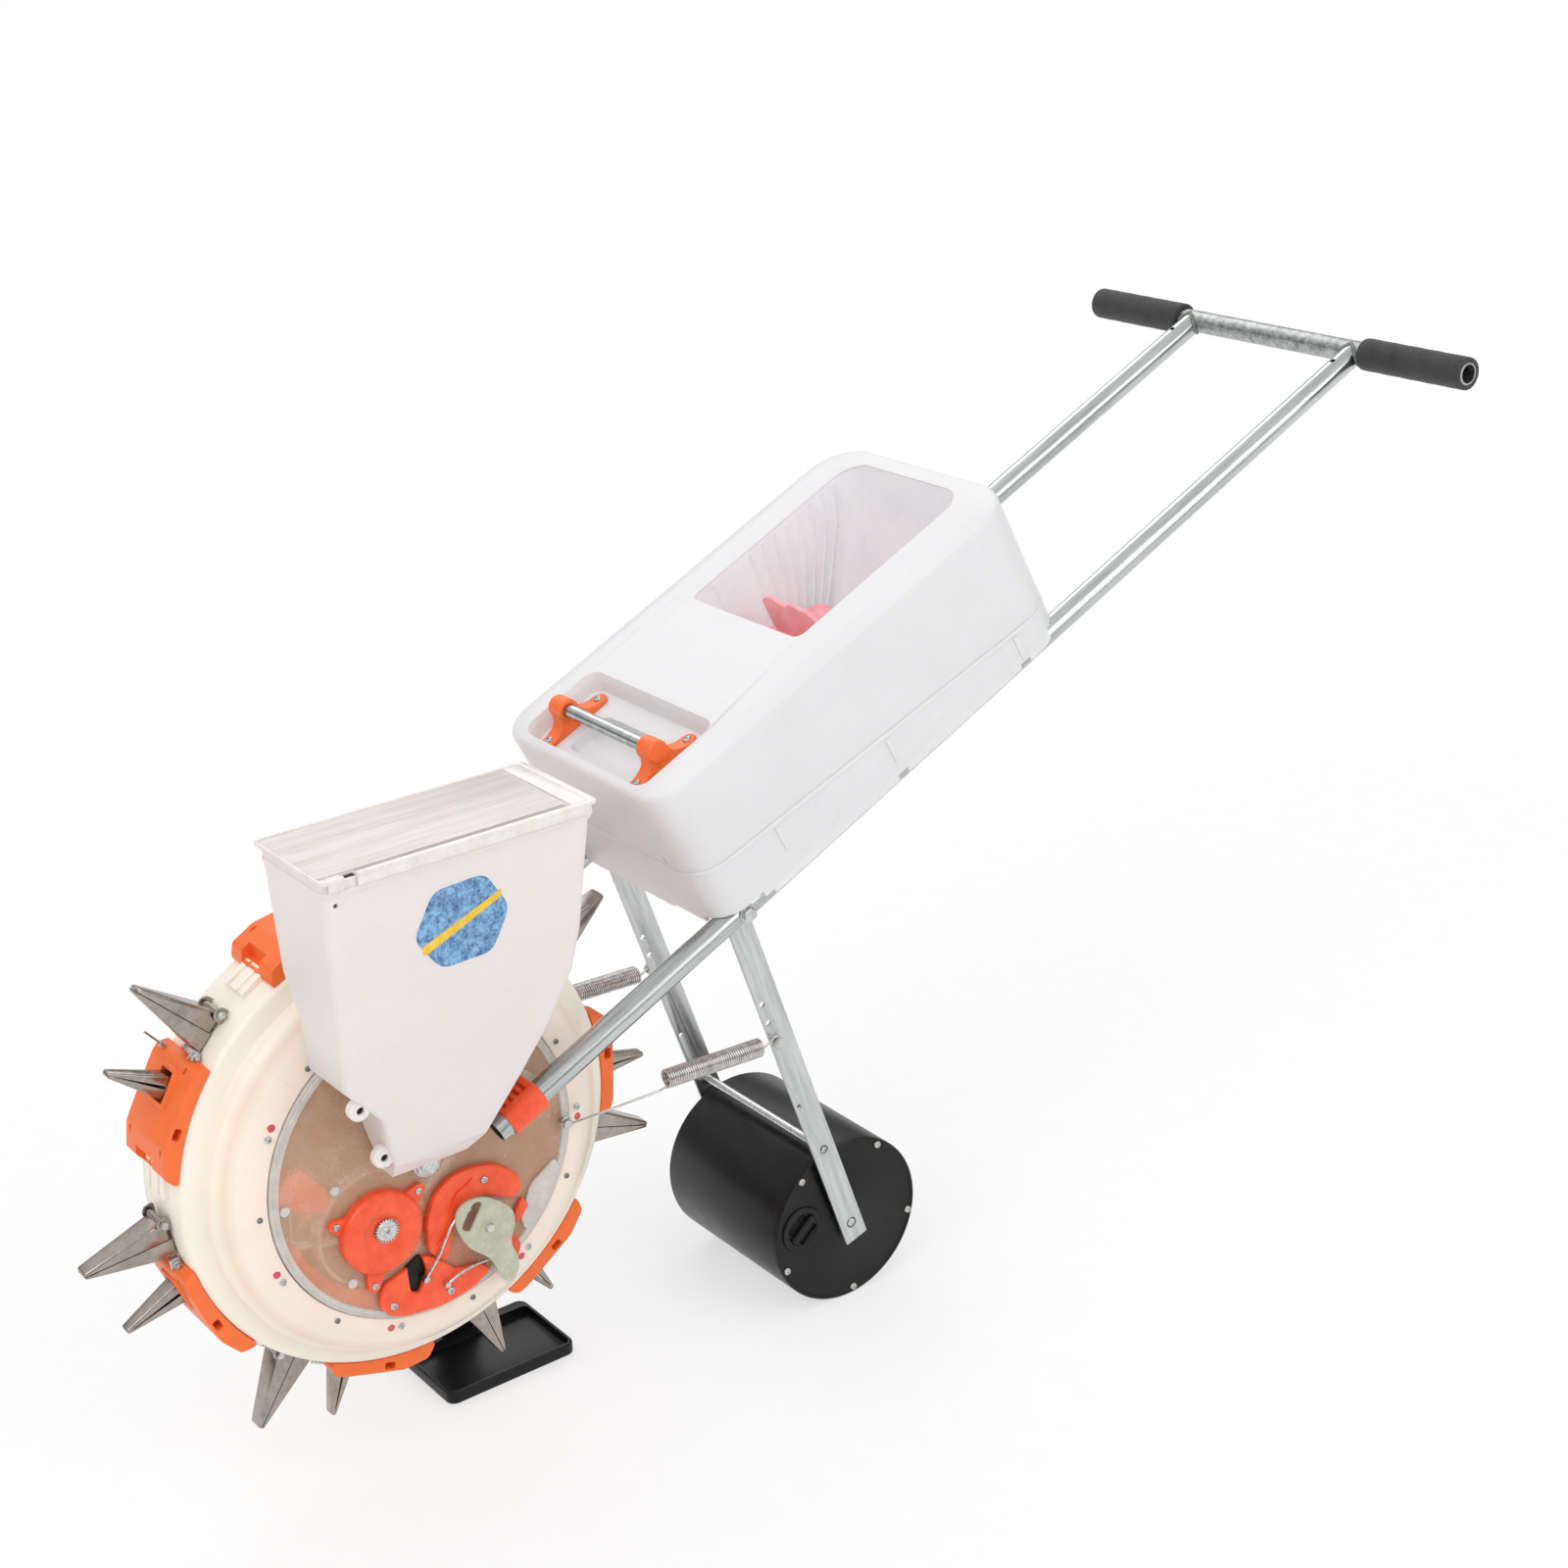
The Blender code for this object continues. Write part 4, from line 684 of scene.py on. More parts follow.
def make_foam():
    """Closed-cell foam: dull black, every cell a tiny pit about 1.1 mm wide."""
    material, tree, place = blank("closed-cell foam, extruded")
    cells = add(tree, "TexVoronoi", {"Vector": place, "Scale": 1000 / 1.1}, feature="F1")
    cloud = add(tree, "TexNoise", {"Vector": place, "Scale": 1000 / 16, "Detail": 3.0})
    mixed = add(tree, "Mix", {"Factor": 0.4, "A": cloud, "B": cells})
    colour = add(tree, "ValToRGB", {"Fac": mixed},
                 stops=((0.2, linear("202021")), (0.7, linear("3D3D3E"))))
    relief = add(tree, "Bump", {"Height": cells, "Strength": 0.8, "Distance": 0.35 * MM})
    principled = add(tree, "BsdfPrincipled", {"Base Color": colour, "Roughness": 0.78,
                                              "Sheen Weight": 0.15, "Normal": relief})
    add(tree, "OutputMaterial", {"Surface": principled})
    return material


def make_lid_finish():
    """Frosted acrylic sheet with fine brushed lines along its length, about 1.6 mm apart."""
    material, tree, place = blank("frosted acrylic sheet, brushed")
    along = add(tree, "Mapping", {"Vector": place, "Scale": (1, 0.03, 1)})
    lines = add(tree, "TexNoise", {"Vector": along, "Scale": 1000 / 1.6, "Detail": 3.0,
                                   "Roughness": 0.7})
    bands = add(tree, "TexNoise", {"Vector": along, "Scale": 1000 / 14, "Detail": 1.0})
    mixed = add(tree, "Mix", {"Factor": 0.4, "A": lines, "B": bands})
    colour = add(tree, "ValToRGB", {"Fac": mixed},
                 stops=((0.34, linear("CBBFB8")), (0.66, linear("EAE3DF")),
                        (0.5, linear("DDD3CD"))))
    relief = add(tree, "Bump", {"Height": lines, "Strength": 0.5, "Distance": 0.06 * MM})
    principled = add(tree, "BsdfPrincipled", {"Base Color": colour, "Roughness": 0.34,
                                              "Alpha": 0.94, "Normal": relief})
    add(tree, "OutputMaterial", {"Surface": principled})
    return material


def make_floor_finish():
    """Pale studio paper, which the camera sees near white and which keeps the shadow."""
    material, tree, place = blank("white background paper")
    grain = add(tree, "TexNoise", {"Vector": place, "Scale": 30.0, "Detail": 3.0})
    colour = add(tree, "ValToRGB", {"Fac": grain},
                 stops=((0.3, linear("F4F4F4")), (0.7, linear("F7F7F7"))))
    paper = add(tree, "BsdfDiffuse", {"Color": colour})
    far = add(tree, "VectorMath", {0: place}, operation="LENGTH")
    glow_share = add(tree, "MapRange", {"Value": far.outputs["Value"], "From Min": 0.9,
                                        "From Max": 2.4, "To Min": 0.62, "To Max": 1.0},
                     interpolation_type="SMOOTHSTEP")
    glow = add(tree, "Emission", {"Color": (1, 1, 1, 1), "Strength": 1.0})
    path = add(tree, "LightPath")
    seen = add(tree, "Math", {0: path.outputs["Is Camera Ray"],
                              1: path.outputs["Is Glossy Ray"]}, operation="MAXIMUM")
    seen = add(tree, "Math", {0: seen, 1: path.outputs["Is Transmission Ray"]},
               operation="MAXIMUM")
    share = add(tree, "Math", {0: seen, 1: glow_share}, operation="MULTIPLY")
    mixed = add(tree, "MixShader", {0: share, 1: paper, 2: glow})
    add(tree, "OutputMaterial", {"Surface": mixed})
    return material


class Piece:
    """What every operator does: it makes its shapes and leaves nothing selected."""

    def execute(self, context):
        self.make()
        only(None)
        return {"FINISHED"}


class SEEDER_OT_wheel_drum(Piece, bpy.types.Operator):
    """The cream wheel: a round rim band, a groove, dished flanks and flat screwed flanges"""
    bl_idname = "seeder.wheel_drum"
    bl_label = "Wheel drum"

    def make(self):
        rim = sizes().rim_radius / MM
        outer = [(142.3, 73.8), (143.2, 74.6), (149, 74.6), (153, 73.9), (159, 71.4), (168, 66),
                 (177, 59.6), (181.5, 55), (183.3, 50), (182.8, 46.8), (183.6, 43.6), (187, 41.6),
                 (196, 39.6), (rim - 1.4, 37), (rim, 33)]
        inner = [(rim - 3, 31), (rim - 6.5, 35), (186, 38), (180.2, 42.5), (180, 52),
                 (174, 58), (165, 64), (157, 68.4), (150, 71.2), (142.3, 71.2)]
        profile = outer + [(r, -x) for r, x in reversed(outer)]
        profile += [(r, -x) for r, x in reversed(inner)] + inner
        drum = turned("drum", profile, 168)
        placed(drum, AXLE @ ROUND_X)
        holes = []
        for pair in range(PAIRS):
            holes.append(placed(block("hole", (-8, -13, rim - 9), (8, 10, rim + 4)), spoke(pair)))
            holes.append(placed(block("hole", (-6, -6, rim - 9), (6, 6, rim + 4)),
                                spoke(pair, SMALL_BILL_LAG)))
        cut(drum, joined(*holes))
        ready(drum, "wheel_drum_cast", "wheel", "nylon", "drum", "wheel_drum", angle=40)
        self.seams(outer)
        self.pads(rim)
        self.fasteners()

    def seams(self, outer):
        """The raised line where the two mould halves of each flank meet."""
        lines = []
        for turn in (FIRST_BILL, FIRST_BILL + 180):
            for side in (1, -1):
                path = [(side * (x - 0.15), 0, r - 0.15) for r, x in outer]
                lines.append(placed(swept("seam", path, 0.5, 2), AXLE @ turn_x(90 - turn)))
        ready(joined(*lines), "wheel_drum_seams", "wheel", "nylon", "drum", angle=60)

    def pads(self, rim):
        """Castellated pads of the same nylon on the rim, between one pair and the next."""
        outline = arc((0, 0), rim + 5, 81.5, 89, 6) + arc((0, 0), rim - 0.6, 89, 81.5, 6)
        pad = plate("pad", outline, -17, 17)
        for x in (-8, 8):
            cut(pad, block("gap", (0, rim + 2.2, x - 2), (40, rim + 9, x + 2)))
        rounded(placed(pad, SIDE), 1.4, 3)
        ready(copies(pad, spokes(-10)), "rim_pads", "wheel", "nylon", "drum")

    def fasteners(self):
        """Dark flange screws, and by each fertiliser bill a red plug with a bright nut."""
        dark, bright, plugs = (
            [side @ AXLE @ turn_x(90 - angle + pair * 360 / PAIRS) @ move(x, 0, radius) @ ROUND_X
             for pair in range(PAIRS) for _, side in SIDES]
            for angle, x, radius in ((51.9, 74.6, 150), (27.2, 74.5, 150.5), (30.9, 74.3, 151)))
        screws("flange_screws_dark", "wheel", 2.6, dark, "weld")
        screws("flange_screws_bright", "wheel", 3.2, bright)
        plug = turned("plug", [(0, 0.9), (2.6, 0.7), (3.5, 0), (3.5, -1), (0, -1)], 24)
        ready(copies(plug, plugs), "flange_plugs", "wheel", "red", "red")


class SEEDER_OT_seed_bills(Piece, bpy.types.Operator):
    """Seven seed bills: a fixed jaw on a riveted foot plate and a flap on a hinge pin"""
    bl_idname = "seeder.seed_bills"
    bl_label = "Seed bills"

    def make(self):
        rim = sizes().rim_radius / MM
        tip = rim + sizes().bill_reach / MM
        root = rim + 0.6
        whole = tapered("bill", (-12.5, -19, root), (12.5, 19, tip), (-8.2, 8.2, -2.9, 2.9))
        rounded(whole, 2.2, 4)
        cut(whole, tapered("hollow", (-10.9, -17.2, root - 3), (10.9, 17.2, tip - 9),
                           (-6.6, 6.6, -1.5, 1.5)))
        flap = copied(whole, "flap")
        cut(whole, block("behind", (-30, -0.3, root - 9), (30, 40, tip + 9)))
        cut(flap, block("ahead", (-30, -40, root - 9), (30, 0.3, tip + 9)),
            block("below", (-30, -40, root - 9), (30, 40, root + 3.4)))
        jaw = joined(rounded(whole, 0.35, 2, 50), self.foot(root), self.ears(root))
        flap = joined(rounded(flap, 0.35, 2, 50), self.knuckle(root))
        for number, place in enumerate(spokes(), 1):
            for pattern, kind in ((jaw, "jaw"), (flap, "flap")):
                name = f"seed_{kind}_{number}"
                ready(copied(pattern, name, place), f"{name}_sheet",
                      "wheel" if kind == "jaw" else name, "stainless", "stainless", name)
        for pattern in (jaw, flap):
            bpy.data.objects.remove(pattern)
        self.bolts(root)

    def foot(self, root):
        foot = plate("foot", rounded_rectangle(-15, 15, -24, 23, 4), root - 0.2, root + 1.8)
        cut(foot, block("passage", (-8, -13, root - 3), (8, 10, root + 5)))
        return rounded(foot, 0.5, 2)

    def ears(self, root):
        """Two ears bent up from the foot, which carry the hinge pin."""
        outline = softened([(10, root), (24, root), (22.5, root + 9), (16, root + 12),
                            (11, root + 8)], 3)
        ears = []
        for x in (13.2, -14.8):
            ear = placed(plate("ear", outline, x, x + 1.6), SIDE)
            ears.append(rounded(ear, 0.4, 2))
        return joined(*ears)

    def knuckle(self, root):
        """The rolled edge of the flap round the hinge pin."""
        curl = turned("curl", [(2.1, -11.6), (3.4, -11.6), (3.4, 11.6), (2.1, 11.6)], 24)
        return placed(curl, move(0, 17, root + 5.4) @ ROUND_X)

    def bolts(self, root):
        """The hinge pins with a nut on one end, and the foot plates' rivets."""
        pin = joined(rod("pin", 1.8, -16.5, 19), nut("nut", 6.5, 15, 18.5),
                     turned("head", [(0, -18), (2.6, -17.4), (3.3, -15.4), (0, -15.4)], 20))
        placed(pin, move(0, 17, root + 5.4) @ ROUND_X)
        rivet = turned("rivet", [(0, 1.5), (1.6, 1.2), (2.5, 0), (2.5, -0.6), (0, -0.6)], 20)
        places = [move(x, y, root + 1.8) for x in (-11, 11) for y in (-21, 12)]
        pins = joined(pin, copies(rivet, places))
        bolt = joined(nut("nut", 7, 0, 3.6), rod("shank", 1.9, 0, 6.5))
        placed(bolt, move(15, -22, root + 4) @ ROUND_X)
        clip = rounded(block("clip", (13, -26, root), (15, -17, root + 9)), 0.6, 2)
        ready(copies(joined(pins, bolt, clip), spokes()), "seed_bill_fasteners", "wheel",
              "zinc_strip", "screw")


class SEEDER_OT_fertiliser_blocks(Piece, bpy.types.Operator):
    """Seven orange blocks on the rim, each with a window, slots and a small sprung bill"""
    bl_idname = "seeder.fertiliser_blocks"
    bl_label = "Fertiliser blocks"

    def make(self):
        rim = sizes().rim_radius / MM
        shape, bill, pin = self.block(rim), self.bill(rim), self.pin(rim)
        for number, place in enumerate(spokes(SMALL_BILL_LAG), 1):
            name = f"fertiliser_block_{number}"
            ready(copied(shape, name, place), f"{name}_moulded", "wheel", "orange", "orange", name)
            name = f"fertiliser_bill_{number}"
            ready(copied(bill, name, place), f"{name}_sheet", name, "stainless", "stainless", name)
        for pattern in (shape, bill):
            bpy.data.objects.remove(pattern)
        ready(copies(pin, spokes(SMALL_BILL_LAG)), "block_spring_pins", "wheel", "zinc_strip",
              "screw")

    def block(self, rim):
        top = rim + 12
        rear = math.radians(20)
        outline = [(-rim * math.sin(rear) - 1, rim * math.cos(rear) + 4), (-66, 204),
                   (-44, 212.5), (-20, top), (16, top), (25, top - 2), (30, rim + 1.5),
                   (28, rim - 1.2)]
        outline += arc((0, 0), rim + 0.2, 82, 110, 9)
        shape = plate("block", softened(outline, 2.5, 2), -36.5, 36.5)
        placed(shape, SIDE)
        rounded(shape, 2.6, 3, 40)
        collar = rounded(block("collar", (-13.5, -17.5, rim + 6), (13.5, 17.5, rim + 14)), 2, 3)
        cut(shape, collar, operation="UNION")
        cut(shape, block("window", (-9.4, -13.5, rim - 6), (9.4, 13.5, rim + 20)),
            block("notch", (-18, -90, rim - 6), (14, -58, rim + 20)),
            rounded(block("slot", (24, -33, rim + 3), (44, -23, rim + 9.5)), 1.5, 2),
            rounded(block("slot", (27, -52, rim + 8), (31, -45, rim + 20)), 1, 2),
            rounded(block("slot", (-31, -52, rim + 8), (-27, -45, rim + 20)), 1, 2),
            rounded(block("slot", (20, 17, rim + 8), (23, 23, rim + 20)), 0.8, 2))
        return shape

    def bill(self, rim):
        """Two sheets that meet at the tip, with light between them."""
        tip = rim + 65
        bill = tapered("bill", (-9, -12, rim + 2.6), (9, 12, tip), (-5.8, 5.8, -2.2, 2.2))
        rounded(bill, 1.7, 3)
        cut(bill, tapered("hollow", (-7.6, -10.6, rim - 2), (7.6, 10.6, tip - 8),
                          (-4.4, 4.4, -1.1, 1.1)),
            tapered("gap", (-12, -1.6, rim + 9), (12, 1.6, tip - 6), (-12, 12, -0.35, 0.35)))
        return rounded(bill, 0.3, 2, 50)

    def pin(self, rim):
        """The end of the return spring's pin in its rubber seat."""
        pin = swept("pin", [(-25, 25, rim + 10), (-25, 28, rim + 17), (-25, 33, rim + 31)], 1.1, 3)
        seat = turned("seat", [(0, 3.5), (2, 3), (2.7, 1), (2.7, -2), (0, -2)], 20)
        return joined(pin, placed(seat, move(-25, 26, rim + 12) @ turn_x(-20)))


# Places beside the wheel, as (y, z) from the axle
SEED_ROLLER = (-32, -55)
GEAR_COVER = (-49, -46)
LEVER_PIVOT = (46, -75)
SPRING_STUD = (133.5, -10)


class SEEDER_OT_side_plates(Piece, bpy.types.Operator):
    """The clear plates that stand still beside the wheel, and the axle with its nuts"""
    bl_idname = "seeder.side_plates"
    bl_label = "Side plates"

    def make(self):
        profile = [(8.4, 79), (15, 79), (16, 78), (16, 76), (133.4, 76), (134.2, 77.6),
                   (137.8, 77.6), (138.6, 76), (140.6, 76), (141.4, 75.2), (141.4, 71.6),
                   (137, 71.6), (136, 73), (8.4, 73)]
        axle = AXLE.translation / MM
        # The near plate's warm tint and the far plate's tan are painted shade and glow of the
        # drum's inside
        for (name, side), finish_name in zip(SIDES, ("clear", "tea")):
            disc = placed(turned("disc", profile, 120), AXLE @ ROUND_X)
            if name == "left":
                cut(disc, bore(6.5, 60, 90, facing(0, *SEED_ROLLER)),
                    placed(block("window", (60, -38, 16), (90, -16, 34)), AXLE))
            placed(disc, side)
            ready(disc, f"{name}_plate_moulded", "frame", "clear", finish_name,
                  f"{name}_side_plate")
            # The plate's thick rim gets the paler finish: painted edge light
            trimmed(disc, "frost", lambda place, normal: (place - axle).yz.length > 133.6)
            self.lug(name, side)
            self.studs(name, side)
        self.axle()

    def lug(self, name, side):
        """The moulded pad behind the clamp, with its curled lower loop and a small eye."""
        pad = plate("pad", softened([(-10, -8), (-4, 10), (12, 12), (60, 12), (60, -30),
                                     (48, -38), (8, -40), (-6, -34)], 9), 76, 93)
        placed(pad, TUBES @ SIDE)
        inside = softened([(-3, -4), (4, 6), (52, 6), (52, -24), (6, -30)], 6)
        cut(pad, placed(plate("pocket", inside, 79, 99), TUBES @ SIDE),
            bore(3.2, 60, 110, facing(0, 48, -32, TUBES)))
        rounded(pad, 0.8, 2)
        web = placed(plate("web", inside, 79, 92), TUBES @ SIDE)
        placed(joined(pad, web), side)
        ready(pad, f"{name}_clamp_lug", "frame", "clear", "frost")

    def studs(self, name, side):
        """The stud that holds the spring's wire, and the plate's own screws."""
        stud = placed(joined(rod("stud", 3, 75, 85.5), nut("nut", 8, 85, 88.4)),
                      facing(0, *SPRING_STUD))
        ready(placed(stud, side), f"{name}_spring_stud", "frame", "zinc_strip", "screw")
        places = [(-129, 2), (-84, 4), (-78, -86), (72, -92), (112, 74), (-40, 128)]
        screws(f"{name}_plate_screws", "frame", 3.2, [side @ facing(76.2, y, z) for y, z in places])
        post = [placed(rod("post", 4.2, 76, 78.4, 0.5), facing(0, y, z)) for y, z in places]
        ready(placed(joined(*post), side), f"{name}_plate_bosses", "frame", "clear", "frost")

    def axle(self):
        """The steel axle with a faceted nut and washer outside each plate."""
        shaft = rod("shaft", 8, -96, 87, 0.8, 32)
        parts = [shaft]
        for low, high in ((79.3, 80.6), (-80.6, -79.3), (-93.8, -92.3)):
            parts.append(turned("washer", [(7.6, high), (12.6, high), (13, high - 0.3),
                                           (13, low), (7.6, low)], 40))
        for low, high in ((80.6, 83.8), (-83.6, -80.7), (-96.2, -93.8)):
            parts.append(rounded(turned("nut", [(7.6, high), (11, high), (11.8, high - 1),
                                                (11.8, low), (7.6, low)], 6), 0.3, 2))
        placed(joined(*parts), AXLE @ ROUND_X)
        ready(shaft, "axle_with_nuts", "frame", "zinc_tube", "screw", "axle")


class SEEDER_OT_metering(Piece, bpy.types.Operator):
    """The metering unit: what lies behind the clear plate, the gear cover, lever and wires"""
    bl_idname = "seeder.metering"
    bl_label = "Metering unit"

    def make(self):
        self.inside()
        self.roller()
        self.gear_cover()
        self.second_housing()
        self.lever()
        self.wires()

    def layer(self, points, low, high, soft=4.0, edge=1.0):
        """A moulded shape with rounded corners and edges, standing on the side plate."""
        shape = placed(plate("layer", softened(points, soft), low, high), AXLE @ SIDE)
        return rounded(shape, edge, 3) if edge else shape

    def inside(self):
        """The outlet, the seed window and the red crescent, seen through the clear plate."""
        drum = turned("drum", [(28.5, 72.4), (33.5, 72.4), (34.5, 71.4), (34.5, 55), (0, 55),
                               (0, 58), (28.5, 58)], 64)
        placed(drum, facing(0, *SEED_ROLLER))
        web = self.layer([(-60, -85), (30, -85), (44, -118), (10, -132), (-48, -120)], 58, 69)
        ready(joined(drum, web), "metering_housing_moulded", "frame", "orange", "ember",
              "metering_housing")
        outlet = self.layer([(-124, 27), (-107, 31), (-88, 5), (-82, -9), (-87, -18), (-126, -3),
                             (-134, 8)], 56, 71, 5, 1.6)
        rib = self.layer([(-131, 6), (-88, -4), (-87, -7), (-130, 2)], 69, 72.4, 1, 0.4)
        ready(joined(outlet, rib), "seed_outlet", "frame", "orange", "ember")
        corners = [(66, -120, -5), (66, -88, -13), (66, -90, -47), (66, -122, -40), (66, -120, -5)]
        window = placed(swept("window", corners, 1.6, 2), AXLE)
        ready(window, "seed_window_frame", "frame", "milky", "frost")
        # A darker ochre patch behind the window, painted shade
        grain = self.layer([(-119, -7), (-89, -15), (-91, -30), (-104, -24)], 60, 63, 2, 0.5)
        ready(grain, "seed_window_shade", "frame", "orange", "amber")
        band = arc((0, 0), 135.5, 196, 286, 24) + arc((0, 0), 106, 286, 196, 24)
        crescent = placed(plate("crescent", band, 60, 71), AXLE @ SIDE)
        cut(crescent, bore(102, 40, 80, facing(0, -22, -8), 64))
        ready(rounded(crescent, 1.2, 3), "housing_crescent", "frame", "red", "crimson")
        case = turned("case", [(50, 72), (52.4, 72), (53.2, 71), (54, 60), (50.6, 60)], 80)
        # The clear case gets the paler finish: painted light on its edges
        ready(placed(case, facing(0, *GEAR_COVER)), "clear_gear_case", "frame", "clear", "frost")

    def roller(self):
        """The metering roller with its row of seed cells, and its spindle through the plate."""
        roller = turned("roller", [(0, 82), (5.4, 82), (6, 81.4), (6, 71.6), (26.5, 71.6),
                                   (27.5, 70.6), (27.5, 60.5), (26.5, 59.5), (0, 59.5)], 64)
        cells = [placed(rod("cell", 4, 22, 32, 0.3, 16), facing(0, 0, 65.5, turn_z(i * 30)))
                 for i in range(12)]
        cut(roller, joined(*cells))
        placed(roller, facing(0, *SEED_ROLLER))
        ready(roller, "seed_roller_moulded", "seed_roller", "orange", "ember", "seed_roller")

    def gear_cover(self):
        """The round cover with a dished face, three screwed lugs and the splined nut."""
        cover = turned("cover", [(0, 84.2), (13.5, 84.2), (16, 84.6), (20, 87.2), (22.5, 87.8),
                                 (31.5, 87.4), (35.2, 86.4), (36.8, 84.4), (37, 76.3), (0, 76.3)],
                       96)
        placed(cover, facing(0, *GEAR_COVER))
        lugs = [(-88, -27), (-11, -22), (-60, -94)]
        for lug in lugs:
            inward = (Vector(GEAR_COVER) - Vector(lug)).normalized()
            side = Vector((-inward.y, inward.x))
            outline = [tuple(Vector(lug) + inward * along + side * across)
                       for along, across in ((-6, 4.5), (-6, -4.5), (14, -9), (14, 9))]
            carve(cover, placed(plate("lug", softened(outline, 4.5), 76.3, 81), AXLE @ SIDE),
                  operation="UNION")
        rounded(cover, 0.7, 2, 50)
        ready(cover, "gear_cover", "frame", "orange", "ember")
        screws("gear_cover_screws", "frame", 3.3, [facing(81, y, z) for y, z in lugs])
        spline = turned("spline", [(0, 88), (3.4, 88), (3.8, 87.4), (8.8, 87.4), (9.6, 86.6),
                                   (9.6, 83.6), (0, 83.6)], 24)
        teeth = [placed(block("tooth", (8.4, -0.55, 83), (11, 0.55, 87)), turn_z(i * 15))
                 for i in range(24)]
        cut(spline, nut("dimple", 4.2, 86, 90))
        ready(placed(joined(spline, *teeth), facing(0, -46, -44)), "gear_cover_nut", "frame",
              "zinc_strip", "screw")

    def second_housing(self):
        """The C-shaped housing beside the cover and the arm below it."""
        horn = self.layer([(-9, -82), (-7, -50), (4, -29), (20, -19), (42, -18), (64, -24),
                           (82, -40), (86, -52), (80, -62), (66, -58), (50, -48), (34, -46),
                           (20, -60), (13, -78), (9, -98)], 76.3, 84, 8, 1.6)
        groove = self.layer([(-2, -78), (0, -54), (9, -36), (22, -27), (40, -26), (34, -32),
                             (22, -36), (14, -50), (8, -72)], 82.6, 90, 4, 0)
        cut(horn, groove)
        wedge = [(-30, -90), (-29, -112), (-21, -117), (-11, -100), (-15, -82)]
        arm = self.layer([(-54, -98), (-58, -116), (-50, -128), (-34, -134), (0, -138), (30, -133),
                          (50, -122), (40, -112), (18, -110), (6, -98), (-10, -84)], 76.3, 82, 7,
                         1.4)
        cut(arm, self.layer(wedge, 70, 90, 3, 0))
        ready(joined(horn, arm), "second_housing", "frame", "orange", "ember")
        ready(self.layer(wedge, 75.8, 78.5, 3, 0.8), "brush_wedge", "frame", "black", "black")
        red = [self.layer(points, 76, 80.5, 3, 1)
               for points in ([(76, -81), (86, -66), (92, -76), (79, -90)],
                              [(67, -102), (74, -96), (81, -110), (76, -124)])]
        ready(joined(*red), "housing_red_pads", "frame", "orange", "ember")
        strip = self.layer([(123, -42), (96, -59), (84, -88), (88, -101), (110, -80), (126, -52)],
                           75.9, 78.6, 5, 0.8)
        ready(strip, "clear_strip", "frame", "clear", "frost")
        screws("housing_screws", "frame", 3.6,
               [facing(82, -46, -119), facing(84, 49, -33), facing(82, 8, -126)])

    def lever(self):
        """The pale lever plate with its long cut-out, and its clear tail."""
        outline = softened([(14.5, -61), (16.5, -48), (27.5, -42), (43.5, -44), (58.5, -54),
                            (70.5, -67), (71.5, -81), (64.5, -97), (71.5, -114), (70.5, -127),
                            (60.5, -137), (51.5, -122), (44.5, -105), (27.5, -90), (18.5, -76)], 7)
        lever = placed(plate("lever", outline, 89, 92), AXLE @ SIDE)
        slot = softened([(37, -46), (42, -50), (27, -73), (19, -66), (31, -48)], 4)
        cut(lever, placed(plate("slot", slot, 80, 99), AXLE @ SIDE),
            bore(3.8, 80, 99, facing(0, *LEVER_PIVOT)))
        rounded(lever, 0.7, 2)
        ready(lever, "brush_lever_moulded", "brush_lever", "pale", "pale", "brush_lever")
        tail = self.layer([(54, -112), (68, -113), (72, -129), (60, -139), (50, -126)], 86, 88.6,
                          4, 0.6)
        ready(tail, "lever_tail", "brush_lever", "clear", "frost")
        stud = placed(joined(rod("stud", 3.5, 76, 94.6), rod("shoulder", 6.4, 76, 88.6)),
                      facing(0, *LEVER_PIVOT))
        ready(stud, "lever_stud", "frame", "clear", "frost")

    def wires(self):
        """Two bent spring wires, each hooked round a small post."""
        first = [(86, 30, -53), (86.5, 22, -54.5), (87, 12, -63), (87, 3, -78), (86.5, -2, -88),
                 (85, -15, -104)]
        second = [(86, 54, -109), (86, 39, -108), (86, 24, -109), (85.5, 12, -113), (85, 4, -117)]
        for number, path in enumerate((first, second), 1):
            wire = placed(swept("wire", path, 1.25, 3, smooth=True), AXLE)
            posts = [placed(rod("post", 2.7, 81, 87.6), facing(0, *end[1:]))
                     for end in (path[0], path[-1])]
            ready(joined(wire, *posts), f"brush_wire_{number}", "frame", "zinc_strip", "screw")


# How far up the tubes the cross bar's middle lies
BAR_ALONG = 1120


